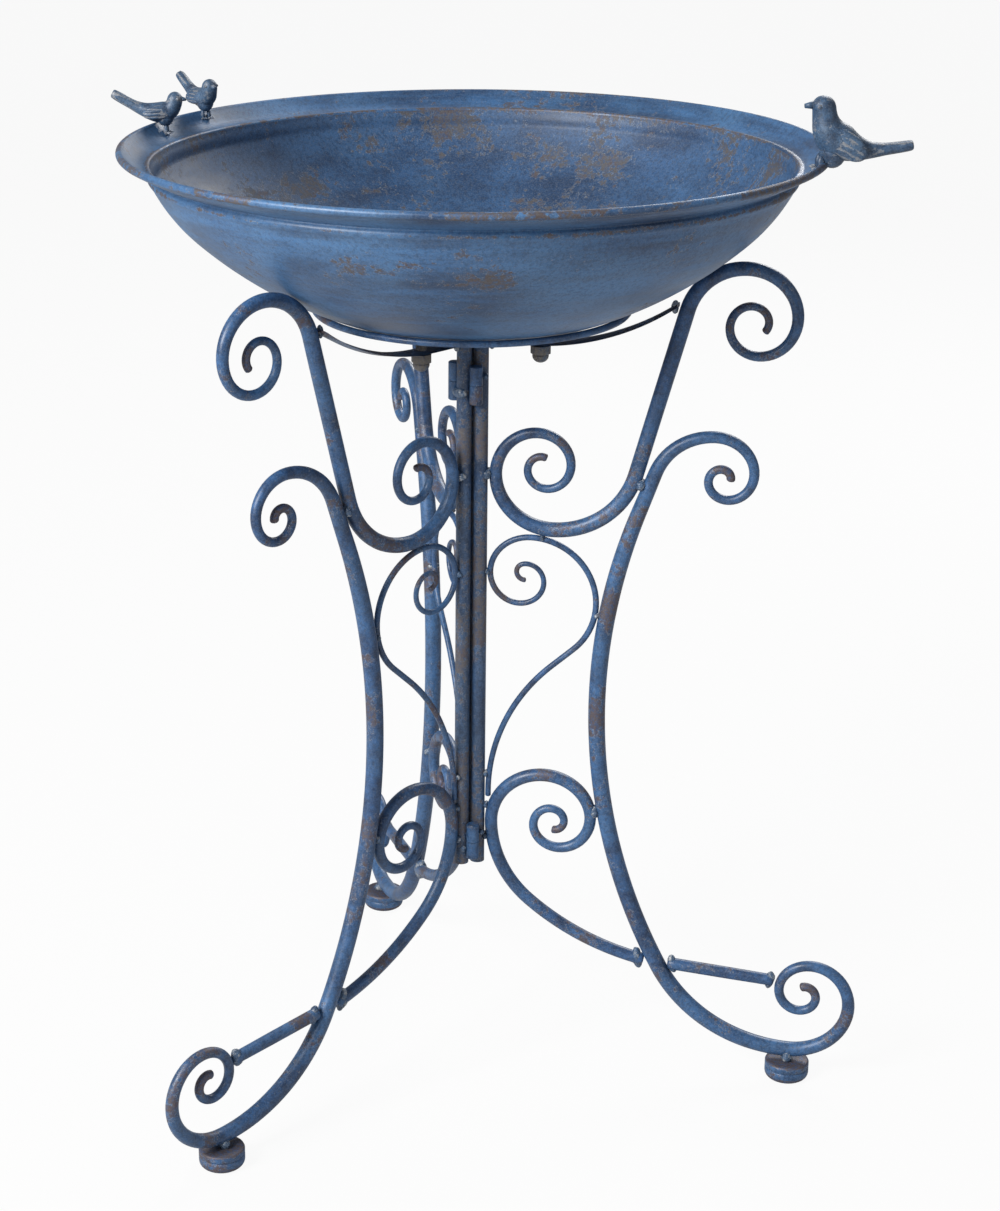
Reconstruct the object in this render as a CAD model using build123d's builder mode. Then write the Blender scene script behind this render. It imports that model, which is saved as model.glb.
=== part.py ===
"""Folding scroll-work bird bath: three hinged wrought panels carry a dished steel bowl with cast birds.

Each panel is drawn flat: u runs outward from the stand's middle, w is the height above the ground.
Rods follow chains of tangent straights and arcs, and every rod is placed by what it is welded to.
"""

import math
import os

from build123d import *

# Bar stock
POST_RADIUS = 5.5
SCROLL_RADIUS = 5.7
LEG_RADIUS = 6.4
CURL_RADIUS = 4.9
BRACE_RADIUS = 4.7
THIN_RADIUS = 2.3
WELD_GAP = 0.3

# Posts, set in a close triangle around the stand's axis
PANEL_COUNT = 3
POST_SPACE = 1.6
POST_BOTTOM = 163.0
POST_TOP = 575.5
POST_CENTRE = (POST_RADIUS + POST_SPACE / 2) / math.sin(math.radians(180 / PANEL_COUNT))
POST_FACE = POST_CENTRE + POST_RADIUS

# Volutes shrink by a constant ratio every half turn and are drawn as short tangent arcs
VOLUTE_STEP = 30.0

# Main S scroll
SCROLL_LOW = 436.5
SCROLL_HIGH = 637.5
SCROLL_LOW_VOLUTE = (48.0, 0.575, 560.0)
SCROLL_HIGH_VOLUTE = (41.0, 0.575, 490.0)
SCROLL_LOW_BEND = 62.0
SCROLL_HIGH_BEND = 42.0
SCROLL_LEAN = 75.0

# Leg, a long C with a volute at its head and one above its foot
LEG_HIGH = 514.0
LEG_VOLUTE = (33.0, 0.49, 460.0)
LEG_SHOULDER_BEND = 45.0
LEG_SHOULDER_TURN = 70.0
LEG_SHOULDER_STRAIGHT = 32.0
LEG_HEEL_TURN = 62.0
FOOT_VOLUTE = (50.0, 0.53, 560.0)
FOOT_OUT = 254.0

# Lower curl rod, from its volute by the post down to the leg
CURL_HIGH = 239.0
CURL_SHOULDER_BEND = 41.0
CURL_SHRINK = 0.54
CURL_TURN = 550.0
CURL_TAIL_BENDS = ((85.0, 50.0), (200.0, 30.0))
TAIL_REACH = 200.0

# Straight foot brace, from the leg to the foot volute
BRACE_FALL = 4.5

# Thin scroll filling the panel
THIN_VOLUTE = (33.5, 0.6, 370.0)
THIN_EYE_BEND = 6.3
THIN_EYE_TURN = 170.0
THIN_WRAP = 138.0
THIN_TAIL_BEND = 143.0

# Support strap under the bowl
STRAP_WIDTH = 14.0
STRAP_THICKNESS = 2.6
STRAP_START = 5.4
STRAP_LEVEL_END = 47.0
STRAP_BEND = 175.0

# Stud and domed cap nut that hold the bowl down
STUD_OUT = 50.5
STUD_RADIUS = 4.0
STUD_HOLE_CLEARANCE = 0.5
THREAD_CLEARANCE = 0.05
STUD_IN_NUT = 9.0
NUT_FLATS = 13.0
NUT_HEX_HEIGHT = 6.5
NUT_DOME_RADIUS = 6.1
NUT_HEIGHT = 13.0
NUT_SEAT_GAP = 0.1
NUT_CORNER = NUT_FLATS / math.sqrt(3)

# Foot cup
CUP_RADIUS = 17.0
CUP_HEIGHT = 15.0
CUP_EDGE = 5.0
CUP_GAP = 2.0

# Barrel hinges between neighbouring posts
KNUCKLE_RADIUS = 4.8
KNUCKLE_LENGTH = 14.0
KNUCKLE_GAP = 0.4
KNUCKLE_WALL_END = 2.5
PIN_RADIUS = 2.5
PIN_CLEARANCE = 0.05
PIN_END_GAP = 0.5
HINGE_MIDDLES = {"right": {"top": 546.0, "bottom": 183.5}, "rear": {"top": 546.0, "bottom": 222.0}}

# Bowl
BOWL_WALL = 2.0
BOWL_BODY_RADIUS = 226.5
BOWL_BODY_HEIGHT = 112.0
BOWL_DISH_BEND = 298.0
BOWL_SIDE_BEND = 122.0
RIM_RADIUS = 250.0
RIM_RISE = 24.0
RIM_ROLL = 2.7
RIM_NECK = 8.0
RIM_FLANGE_RISE = 9.5
BOWL_GAP = 0.3

# Round ring under the bowl
RING_RADIUS = 113.0
RING_BAR_RADIUS = 2.5
RING_GAP = 0.3

# Birds: (azimuth, distance from the axis, facing), then each bird's body ellipses from tail to neck as
# (forward, up, heading, half height, half width), head (forward, up, radius), beak (length, radius, rise)
# and legs (half spacing, forward, radius, top)
BIRD_GAP = 0.3
BIRD_PLACES = {
    "right_bird": (-5.6, 239.5, 191.6),
    "left_bird": (170.6, 236.5, 7.6),
    "rear_bird": (156.8, 239.5, -44.4),
}
UPRIGHT_BODY = (
    (-63.0, 16.0, 0.0, 2.6, 5.0),
    (-50.0, 14.5, -3.0, 4.0, 5.4),
    (-36.0, 13.0, 0.0, 6.0, 7.5),
    (-22.0, 15.5, 15.0, 10.5, 11.5),
    (-10.0, 20.5, 38.0, 13.0, 12.5),
    (-4.0, 28.0, 62.0, 10.5, 10.5),
    (-2.0, 36.0, 85.0, 7.8, 8.0),
)
PERT_BODY = (
    (-42.0, 29.0, -28.0, 1.6, 3.2),
    (-31.0, 23.0, -26.0, 2.4, 3.6),
    (-21.0, 18.0, -16.0, 4.2, 5.0),
    (-10.0, 15.0, 0.0, 7.0, 7.2),
    (-1.0, 16.5, 25.0, 7.4, 7.2),
    (3.0, 21.5, 62.0, 5.8, 5.8),
)
BIRDS = {
    "right_bird": (UPRIGHT_BODY, (-1.5, 42.0, 8.5), (4.2, 2.4, 1.5), (5.0, -1.0, 2.2, 16.0)),
    "left_bird": (PERT_BODY, (3.8, 25.3, 5.8), (3.2, 1.5, 0.6), (2.6, -3.0, 1.2, 11.0)),
    "rear_bird": (PERT_BODY, (3.8, 25.3, 5.8), (3.2, 1.5, 0.6), (2.6, -3.0, 1.2, 11.0)),
}

# Welds
BEAD_LARGE = 3.4
BEAD_SMALL = 2.4
BEAD_GAP = 0.05
SHOULDER_BEAD_TURN = 18.0
HINGE_BEAD_RISE = 6.3
THIN_BEAD_RISE = 18.0

# Azimuths at which the three folding panels rest
PANELS = {"right": 0.0, "rear": 117.3, "left": 235.4}

# The stand's axis is off the middle of the footprint, which is the frame's origin
AXIS_PLACE = (-15.0, -10.0, 0.0)


# --- Paths: a piece is (u, w, heading, size, turn); turn 0 is a straight of length size, else size is a radius


def piece_end(piece):
    """Where a straight or arc ends, and the heading it ends on."""
    u, w, heading, size, turn = piece
    angle = math.radians(heading)
    if turn == 0:
        return u + size * math.cos(angle), w + size * math.sin(angle), heading
    side = math.copysign(1, turn)
    last = math.radians(heading + turn)
    centre_u = u - side * size * math.sin(angle)
    centre_w = w + side * size * math.cos(angle)
    return centre_u + side * size * math.sin(last), centre_w - side * size * math.cos(last), heading + turn


def chain(u, w, heading, moves):
    """Lays moves (size, turn) end to end from a point and a heading."""
    pieces = []
    for size, turn in moves:
        pieces.append((u, w, heading, size, turn))
        u, w, heading = piece_end(pieces[-1])
    return pieces


def backwards(pieces):
    """The same path walked from its other end."""
    turned = []
    for piece in reversed(pieces):
        u, w, heading = piece_end(piece)
        turned.append((u, w, heading + 180, piece[3], -piece[4]))
    return turned


def volute(radius, shrink, turn, side):
    """Moves of a volute that starts at a radius and shrinks by a ratio every half turn."""
    moves = []
    walked = 0.0
    while walked < turn - 0.01:
        step = min(VOLUTE_STEP, turn - walked)
        moves.append((radius * shrink ** ((walked + step / 2) / 180), side * step))
        walked += step
    return moves


def volute_reach(radius, shrink):
    """How far a volute swings sideways in its first quarter turn."""
    quarter = chain(0, 0, 0, volute(radius, shrink, 90, 1))
    return piece_end(quarter[-1])[0]


def walk(pieces, spacing=2.0):
    """Points along a path."""
    points = []
    for piece in pieces:
        u, w, heading, size, turn = piece
        length = size * (math.radians(abs(turn)) if turn else 1)
        count = max(2, math.ceil(length / spacing))
        for step in range(count + 1):
            share = step / count
            part = (u, w, heading, size * share, 0) if turn == 0 else (u, w, heading, size, turn * share)
            points.append(piece_end(part)[:2] if turn == 0 or share > 0 else (u, w))
    return points


def distance_to(point, pieces):
    """Distance from a point to a path."""
    nearest = math.inf
    for u, w, heading, size, turn in pieces:
        angle = math.radians(heading)
        du, dw = point[0] - u, point[1] - w
        if turn == 0:
            along = min(max(du * math.cos(angle) + dw * math.sin(angle), 0), size)
            gap = math.hypot(du - along * math.cos(angle), dw - along * math.sin(angle))
        else:
            side = math.copysign(1, turn)
            centre_u, centre_w = u - side * size * math.sin(angle), w + side * size * math.cos(angle)
            out_u, out_w = point[0] - centre_u, point[1] - centre_w
            swept = side * (math.degrees(math.atan2(out_w, out_u)) - heading) + 90
            if swept % 360 <= abs(turn):
                gap = abs(math.hypot(out_u, out_w) - size)
            else:
                last = piece_end((u, w, heading, size, turn))
                gap = min(math.hypot(du, dw), math.hypot(point[0] - last[0], point[1] - last[1]))
        nearest = min(nearest, gap)
    return nearest


def nearest_pair(path, other):
    """The closest approach of two paths: the gap between centre lines and the point half way."""
    point = min(walk(path), key=lambda spot: distance_to(spot, other))
    partner = min(walk(other), key=lambda spot: math.hypot(spot[0] - point[0], spot[1] - point[1]))
    middle = ((point[0] + partner[0]) / 2, (point[1] + partner[1]) / 2)
    return distance_to(point, other), middle


def solve(error, low, high):
    """Bisects for the value where error changes sign."""
    rising = error(high) > error(low)
    for _ in range(30):
        middle = (low + high) / 2
        if (error(middle) > 0) == rising:
            high = middle
        else:
            low = middle
    return (low + high) / 2


# --- Main S scroll: its lower volute rests against the post

scroll_low_u = POST_FACE + WELD_GAP + SCROLL_RADIUS + volute_reach(*SCROLL_LOW_VOLUTE[:2])
lean = math.radians(SCROLL_LEAN)
scroll_run = (
    SCROLL_HIGH - SCROLL_LOW - (SCROLL_LOW_BEND + SCROLL_HIGH_BEND) * (1 - math.cos(lean))
) / math.sin(lean)
scroll_rise = chain(
    scroll_low_u,
    SCROLL_LOW,
    0,
    [(SCROLL_LOW_BEND, SCROLL_LEAN), (scroll_run, 0), (SCROLL_HIGH_BEND, -SCROLL_LEAN)],
)
scroll_top_u = piece_end(scroll_rise[-1])[0]
scroll_head = chain(scroll_top_u, SCROLL_HIGH, 0, volute(*SCROLL_HIGH_VOLUTE, -1))
scroll_eye = chain(scroll_low_u, SCROLL_LOW, 180, volute(*SCROLL_LOW_VOLUTE, -1))
scroll_path = backwards(scroll_eye) + scroll_rise + scroll_head

# --- Leg: its head is moved along until the leg lies against the S scroll

foot_low = CUP_HEIGHT + CUP_GAP + LEG_RADIUS


def leg_from(head_u):
    """The leg's path from the top of its head volute down to the foot."""
    shoulder = math.radians(LEG_SHOULDER_TURN)
    heel = math.radians(LEG_HEEL_TURN)
    # One long bow and the heel bend make up what the shoulder leaves
    out = FOOT_OUT - head_u + LEG_SHOULDER_BEND * math.sin(shoulder) + LEG_SHOULDER_STRAIGHT * math.cos(shoulder)
    down = LEG_HIGH - foot_low - LEG_SHOULDER_BEND * (1 - math.cos(shoulder))
    down -= LEG_SHOULDER_STRAIGHT * math.sin(shoulder)
    bow_out, bow_down = math.sin(shoulder) - math.sin(heel), math.cos(shoulder) + math.cos(heel)
    heel_out, heel_down = math.sin(heel), 1 - math.cos(heel)
    size = bow_out * heel_down - heel_out * bow_down
    bow = (out * heel_down - heel_out * down) / size
    heel_bend = (bow_out * down - out * bow_down) / size
    moves = [
        (LEG_SHOULDER_BEND, LEG_SHOULDER_TURN),
        (LEG_SHOULDER_STRAIGHT, 0),
        (bow, 180 - LEG_SHOULDER_TURN - LEG_HEEL_TURN),
        (heel_bend, LEG_HEEL_TURN),
    ]
    return chain(head_u, LEG_HIGH, 180, moves)


leg_touch = SCROLL_RADIUS + WELD_GAP + LEG_RADIUS
leg_head_u = solve(
    lambda u: nearest_pair(scroll_rise, leg_from(u))[0] - leg_touch, scroll_top_u - 60, scroll_top_u + 30
)
leg_run = leg_from(leg_head_u)
leg_head = chain(leg_head_u, LEG_HIGH, 0, volute(*LEG_VOLUTE, -1))
leg_foot = chain(FOOT_OUT, foot_low, 0, volute(*FOOT_VOLUTE, 1))
leg_path = backwards(leg_head) + leg_run + leg_foot

# --- Post

post_path = chain(POST_CENTRE, POST_BOTTOM, 90, [(POST_TOP - POST_BOTTOM, 0)])


def heading_near(point, piece):
    """Heading of a piece at the place nearest a point."""
    u, w, heading, size, turn = piece
    if turn == 0:
        return heading
    side = math.copysign(1, turn)
    angle = math.radians(heading)
    centre_u, centre_w = u - side * size * math.sin(angle), w + side * size * math.cos(angle)
    return math.degrees(math.atan2(point[1] - centre_w, point[0] - centre_u)) + side * 90


def stop_at(pieces, radius, other, other_radius):
    """Cuts a rod's path short where its square end meets another rod, less the weld gap."""
    kept = []
    for piece in pieces:
        u, w, heading, size, turn = piece

        def part(share):
            return (u, w, heading, size * share, 0) if turn == 0 else (u, w, heading, size, turn * share)

        def clear(share):
            end_u, end_w, end_heading = piece_end(part(share))
            met = min(other, key=lambda near: distance_to((end_u, end_w), [near]))
            across = end_heading - heading_near((end_u, end_w), met)
            lean_in = radius * abs(math.cos(math.radians(across)))
            return distance_to((end_u, end_w), other) - other_radius - WELD_GAP - lean_in

        steps = [step / 60 for step in range(1, 61)]
        blocked = next((share for share in steps if clear(share) < 0), None)
        if blocked is None:
            kept.append(piece)
            continue
        kept.append(part(solve(clear, blocked - 1 / 60, blocked)))
        break
    return kept


# --- Lower curl rod: its shoulder lies against the post and its volute against the leg

curl_high_u = POST_FACE + WELD_GAP + CURL_RADIUS + CURL_SHOULDER_BEND
curl_touch = CURL_RADIUS + WELD_GAP + LEG_RADIUS
curl_bend = solve(
    lambda bend: nearest_pair(
        chain(curl_high_u, CURL_HIGH, 0, volute(bend, CURL_SHRINK, 150, -1)), leg_run
    )[0]
    - curl_touch,
    CURL_SHOULDER_BEND / 2,
    CURL_SHOULDER_BEND * 1.5,
)
curl_eye = chain(curl_high_u, CURL_HIGH, 0, volute(curl_bend, CURL_SHRINK, CURL_TURN, -1))
curl_tail = chain(
    curl_high_u, CURL_HIGH, 180, [(CURL_SHOULDER_BEND, 90), *CURL_TAIL_BENDS, (TAIL_REACH, 0)]
)
curl_tail = stop_at(curl_tail, CURL_RADIUS, leg_run, LEG_RADIUS)
curl_path = backwards(curl_eye) + curl_tail

# --- Foot brace: carries on from the curl rod, past the leg, to the foot volute

tail_u, tail_w, tail_heading = piece_end(curl_tail[-1])
brace_slope = math.radians(BRACE_FALL)
brace_u = tail_u + (2 * LEG_RADIUS + BRACE_RADIUS) / math.sin(math.radians(LEG_HEEL_TURN))
brace_w = tail_w - (brace_u - tail_u) * math.tan(brace_slope)
brace_out = stop_at(chain(brace_u, brace_w, -BRACE_FALL, [(TAIL_REACH, 0)]), BRACE_RADIUS, leg_foot, LEG_RADIUS)
brace_far = piece_end(brace_out[-1])
brace_back = chain(brace_far[0], brace_far[1], 180 - BRACE_FALL, [(TAIL_REACH, 0)])
brace_path = stop_at(brace_back, BRACE_RADIUS, leg_run, LEG_RADIUS)

# --- Thin scroll: wedged between post, S scroll and leg

thin_edge_u = POST_FACE + WELD_GAP + THIN_RADIUS
thin_high_u = thin_edge_u + volute_reach(*THIN_VOLUTE[:2])
thin_touch_scroll = THIN_RADIUS + WELD_GAP + SCROLL_RADIUS
thin_touch_leg = THIN_RADIUS + WELD_GAP + LEG_RADIUS


def thin_wrap(high, bend):
    """The thin scroll's large turn, from its top towards the leg and back under."""
    return chain(thin_high_u, high, 0, [(bend, -THIN_WRAP)])


thin_high, thin_bend = SCROLL_LOW - thin_touch_scroll, SCROLL_LOW_BEND
for _ in range(6):
    thin_bend = solve(
        lambda bend: nearest_pair(thin_wrap(thin_high, bend), leg_run)[0] - thin_touch_leg,
        SCROLL_LOW_BEND / 3,
        SCROLL_LOW_BEND,
    )
    thin_high = solve(
        lambda high: min(
            nearest_pair(thin_wrap(high, thin_bend), scroll_path)[0],
            nearest_pair(chain(thin_high_u, high, 180, volute(*THIN_VOLUTE[:2], 60, 1)), scroll_path)[0],
        )
        - thin_touch_scroll,
        SCROLL_LOW - 4 * thin_touch_scroll,
        SCROLL_LOW - 1,
    )
thin_turn = thin_wrap(thin_high, thin_bend)
thin_eye = chain(thin_high_u, thin_high, 180, [*volute(*THIN_VOLUTE, 1), (THIN_EYE_BEND, THIN_EYE_TURN)])
turn_u, turn_w, turn_heading = piece_end(thin_turn[-1])
tail_turn = THIN_WRAP - 90
thin_straight = turn_u - thin_edge_u - THIN_TAIL_BEND * (1 - math.cos(math.radians(tail_turn)))
thin_straight /= math.sin(math.radians(tail_turn))
thin_tail = chain(
    turn_u, turn_w, turn_heading, [(thin_straight, 0), (THIN_TAIL_BEND, tail_turn), (TAIL_REACH, 0)]
)
thin_tail = stop_at(thin_tail, THIN_RADIUS, curl_tail, CURL_RADIUS)
thin_path = backwards(thin_eye) + thin_turn + thin_tail

# --- Support strap: level over the post and the stud, then bending up to the S scroll

strap_low = POST_TOP + WELD_GAP
strap_level = STRAP_LEVEL_END - STRAP_START
strap_middle = strap_low + STRAP_THICKNESS / 2
strap_path = stop_at(
    chain(STRAP_START, strap_middle, 0, [(strap_level, 0), (STRAP_BEND, 60)]),
    STRAP_THICKNESS / 2,
    scroll_rise,
    SCROLL_RADIUS,
)

# --- Bowl section: a wide dish arc, a tighter side arc, then a flared rim. Heights are above its lowest point


def side_arc_miss(angle):
    """How far the side arc, tangent to the dish arc at an angle, misses the top of the body."""
    lean_in = math.radians(angle)
    centre_r = (BOWL_DISH_BEND - BOWL_SIDE_BEND) * math.sin(lean_in)
    centre_h = BOWL_DISH_BEND - (BOWL_DISH_BEND - BOWL_SIDE_BEND) * math.cos(lean_in)
    return math.hypot(BOWL_BODY_RADIUS - centre_r, BOWL_BODY_HEIGHT - centre_h) - BOWL_SIDE_BEND


dish_turn = solve(side_arc_miss, 5, 60)
side_centre_r = (BOWL_DISH_BEND - BOWL_SIDE_BEND) * math.sin(math.radians(dish_turn))
side_centre_h = BOWL_DISH_BEND - (BOWL_DISH_BEND - BOWL_SIDE_BEND) * math.cos(math.radians(dish_turn))
side_end = math.degrees(math.atan2(BOWL_BODY_RADIUS - side_centre_r, side_centre_h - BOWL_BODY_HEIGHT))


def outside_bowl(point, base):
    """Signed distance from a point to the bowl's underside, for a bowl whose lowest point is at base."""
    out, height = point[0], point[1] - base
    if math.degrees(math.atan2(out, BOWL_DISH_BEND - height)) <= dish_turn:
        return math.hypot(out, BOWL_DISH_BEND - height) - BOWL_DISH_BEND
    return math.hypot(out - side_centre_r, height - side_centre_h) - BOWL_SIDE_BEND


# The bowl comes to rest on the heads of the three S scrolls
scroll_crown = walk(scroll_rise) + walk(scroll_head)
bowl_base = solve(
    lambda base: min(outside_bowl(point, base) for point in scroll_crown) - SCROLL_RADIUS - BOWL_GAP,
    POST_TOP - 50,
    POST_TOP + 150,
)

print("scroll to post", round(nearest_pair(scroll_eye, post_path)[0] - SCROLL_RADIUS - POST_RADIUS, 2))
print("scroll to leg", round(nearest_pair(scroll_rise, leg_run)[0] - SCROLL_RADIUS - LEG_RADIUS, 2))
print("bowl underside at", round(bowl_base, 1), "mm, rim top at", round(bowl_base + BOWL_BODY_HEIGHT + RIM_RISE, 1))


# --- Solids of one panel, drawn in the XZ plane and turned into place

PANEL_FACE = Plane(origin=(0, 0, 0), x_dir=(1, 0, 0), z_dir=(0, -1, 0))
os.makedirs("parts", exist_ok=True)


def draw(pieces):
    """Adds a path to the open line context."""
    for piece in pieces:
        u, w, heading, size, turn = piece
        end = piece_end(piece)[:2]
        if turn == 0:
            Line((u, w), end)
        else:
            ThreePointArc((u, w), piece_end((u, w, heading, size, turn / 2))[:2], end)


def path_start(pieces):
    """The plane square to a path at its start."""
    u, w, heading = pieces[0][:3]
    along = (math.cos(math.radians(heading)), 0, math.sin(math.radians(heading)))
    return Plane(origin=(u, 0, w), x_dir=(0, 1, 0), z_dir=along)


def rod(pieces, radius):
    """Round bar bent along a path."""
    with BuildPart() as bar:
        with BuildLine(PANEL_FACE) as centre_line:
            draw(pieces)
        with BuildSketch(path_start(pieces)):
            Circle(radius)
        sweep(path=centre_line.wires()[0])
    return bar.part


def keep(solid, name):
    """Moves a finished piece from the stand's axis to its place in the frame, labels it and writes it."""
    piece = solid.moved(Location(AXIS_PLACE))
    piece.label = name
    export_step(piece, f"parts/{name}.step")


panel = {
    "post": rod(post_path, POST_RADIUS),
    "s_scroll": rod(scroll_path, SCROLL_RADIUS),
    "leg": rod(leg_path, LEG_RADIUS),
    "curl_rod": rod(curl_path, CURL_RADIUS),
    "foot_brace": rod(brace_path, BRACE_RADIUS),
    "thin_scroll": rod(thin_path, THIN_RADIUS),
}

# Strap: flat bar bent along its path, drilled for the stud
with BuildPart() as strap:
    with BuildLine(PANEL_FACE) as strap_line:
        draw(strap_path)
    with BuildSketch(path_start(strap_path)):
        Rectangle(STRAP_WIDTH, STRAP_THICKNESS)
    sweep(path=strap_line.wires()[0])
    with Locations((STUD_OUT, 0, strap_low)):
        Cylinder(
            STUD_RADIUS + STUD_HOLE_CLEARANCE,
            4 * STRAP_THICKNESS,
            mode=Mode.SUBTRACT,
        )
panel["strap"] = strap.part

# Foot cup: a round boss with a rolled lower edge
with BuildPart() as cup:
    with Locations((FOOT_OUT, 0, 0)):
        Cylinder(CUP_RADIUS, CUP_HEIGHT, align=(Align.CENTER, Align.CENTER, Align.MIN))
    fillet(cup.edges().filter_by(GeomType.CIRCLE).group_by(Axis.Z)[0], CUP_EDGE)
    chamfer(cup.edges().filter_by(GeomType.CIRCLE).group_by(Axis.Z)[-1], CUP_EDGE / 5)
panel["foot_cup"] = cup.part

# Cap nut: hexagon with a domed end, blind bore for the stud, seated under the strap
nut_top = strap_low - NUT_SEAT_GAP
with BuildPart() as cap_nut:
    with BuildSketch(Plane.XY.offset(nut_top)):
        with Locations((STUD_OUT, 0)):
            RegularPolygon(NUT_FLATS / 2, 6, major_radius=False)
    extrude(amount=-NUT_HEX_HEIGHT)
    with Locations((STUD_OUT, 0, nut_top - NUT_HEX_HEIGHT)):
        Cylinder(
            NUT_DOME_RADIUS,
            NUT_HEIGHT - NUT_HEX_HEIGHT,
            align=(Align.CENTER, Align.CENTER, Align.MAX),
        )
    fillet(cap_nut.edges().filter_by(GeomType.CIRCLE).group_by(Axis.Z)[0], NUT_DOME_RADIUS * 0.8)
    with Locations((STUD_OUT, 0, nut_top + 1)):
        Cylinder(
            STUD_RADIUS + THREAD_CLEARANCE,
            STUD_IN_NUT + 1,
            align=(Align.CENTER, Align.CENTER, Align.MAX),
            mode=Mode.SUBTRACT,
        )
panel["cap_nut"] = cap_nut.part

# Stud: from inside the nut up to just under the bowl
underside = solve(
    lambda height: outside_bowl((STUD_OUT - STUD_RADIUS, height), bowl_base), strap_low, bowl_base + 60
)
stud_low = nut_top - STUD_IN_NUT + THREAD_CLEARANCE
with BuildPart() as stud:
    with Locations((STUD_OUT, 0, stud_low)):
        Cylinder(
            STUD_RADIUS,
            underside - BOWL_GAP - stud_low,
            align=(Align.CENTER, Align.CENTER, Align.MIN),
        )
panel["stud"] = stud.part

# Weld beads: small balls that sit in the grooves and corners where the bars meet


def groove_beads(spot, path, radius, other, other_radius, bead):
    """Two beads, front and back, in the groove between bars that lie side by side, level with a spot."""
    partner = min(walk(other, 0.5), key=lambda near: math.hypot(near[0] - spot[0], near[1] - spot[1]))
    near_reach, far_reach = radius + bead + BEAD_GAP, other_radius + bead + BEAD_GAP

    def between(share):
        return spot[0] + share * (partner[0] - spot[0]), spot[1] + share * (partner[1] - spot[1])

    share = solve(
        lambda part: distance_to(between(part), path) ** 2
        - distance_to(between(part), other) ** 2
        - near_reach**2
        + far_reach**2,
        0,
        1,
    )
    u, w = between(share)
    rise = math.sqrt(near_reach**2 - distance_to((u, w), path) ** 2)
    return [(u, rise, w, bead), (u, -rise, w, bead)]


def side_beads(path, radius, other, other_radius, bead):
    """Groove beads at the closest approach of two bars."""
    spot = min(walk(path, 0.5), key=lambda point: distance_to(point, other))
    return groove_beads(spot, path, radius, other, other_radius, bead)


def corner_beads(path, half, other, other_radius, bead):
    """Two beads in the corners, on either side, where a bar's end meets another bar."""
    u, w, heading = piece_end(path[-1])
    along = math.radians(heading)
    found = []
    for side in (1, -1):

        def bead_at(shift, offset, side=side):
            return (
                u + shift * math.cos(along) - side * offset * math.sin(along),
                w + shift * math.sin(along) + side * offset * math.cos(along),
            )

        def beside(shift, bead_at=bead_at):
            offset = solve(
                lambda out: distance_to(bead_at(shift, out), path) - half - bead - BEAD_GAP, half, half + 3 * bead
            )
            return bead_at(shift, offset)

        seat = beside(
            solve(
                lambda shift, beside=beside: distance_to(beside(shift), other) - other_radius - bead - BEAD_GAP,
                -4 * bead,
                0,
            )
        )
        found.append((seat[0], 0, seat[1], bead))
    return found


shoulder_spots = [
    piece_end((*curl_tail[0][:4], 90 - SHOULDER_BEAD_TURN))[:2],
    piece_end((*curl_tail[1][:4], SHOULDER_BEAD_TURN / 2))[:2],
]
thin_end = piece_end(thin_tail[-1])
thin_spot = (thin_end[0], thin_end[1] + THIN_BEAD_RISE)
cup_bead_w = CUP_HEIGHT + BEAD_GAP + BEAD_LARGE
cup_bead_out = math.sqrt((LEG_RADIUS + BEAD_LARGE + BEAD_GAP) ** 2 - (foot_low - cup_bead_w) ** 2)
beads = [
    *side_beads(scroll_eye, SCROLL_RADIUS, post_path, POST_RADIUS, BEAD_LARGE),
    *side_beads(scroll_rise, SCROLL_RADIUS, leg_run, LEG_RADIUS, BEAD_LARGE),
    *side_beads(thin_turn + thin_eye[:3], THIN_RADIUS, scroll_path, SCROLL_RADIUS, BEAD_SMALL),
    *side_beads(thin_eye, THIN_RADIUS, post_path, POST_RADIUS, BEAD_SMALL),
    *side_beads(thin_turn, THIN_RADIUS, leg_run, LEG_RADIUS, BEAD_SMALL),
    *side_beads(curl_eye[:6], CURL_RADIUS, leg_run, LEG_RADIUS, BEAD_LARGE),
    *groove_beads(thin_spot, thin_tail, THIN_RADIUS, post_path, POST_RADIUS, BEAD_SMALL),
    *groove_beads(shoulder_spots[0], curl_tail, CURL_RADIUS, post_path, POST_RADIUS, BEAD_SMALL),
    *groove_beads(shoulder_spots[1], curl_tail, CURL_RADIUS, post_path, POST_RADIUS, BEAD_SMALL),
    *corner_beads(curl_tail, CURL_RADIUS, leg_run, LEG_RADIUS, BEAD_LARGE),
    *corner_beads(brace_path, BRACE_RADIUS, leg_run, LEG_RADIUS, BEAD_SMALL),
    *corner_beads(backwards(brace_path), BRACE_RADIUS, leg_foot, LEG_RADIUS, BEAD_SMALL),
    *corner_beads(strap_path, STRAP_THICKNESS / 2, scroll_rise, SCROLL_RADIUS, BEAD_SMALL),
    (FOOT_OUT, cup_bead_out, cup_bead_w, BEAD_LARGE),
    (FOOT_OUT, -cup_bead_out, cup_bead_w, BEAD_LARGE),
    (POST_FACE + BEAD_SMALL + BEAD_GAP, 0, strap_low - BEAD_SMALL - BEAD_GAP, BEAD_SMALL),
]
with BuildPart() as welds:
    for u, out, w, size in beads:
        with Locations((u, out, w)):
            Sphere(size)
panel["welds"] = welds.part

for side_name, azimuth in PANELS.items():
    for piece_name, solid in panel.items():
        with BuildPart() as placed:
            add(solid, rotation=(0, 0, azimuth))
        keep(placed.part, f"{side_name}_{piece_name}")


# --- Barrel hinges: the lower knuckle and its pin belong to the left panel, the upper one to its neighbour


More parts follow.
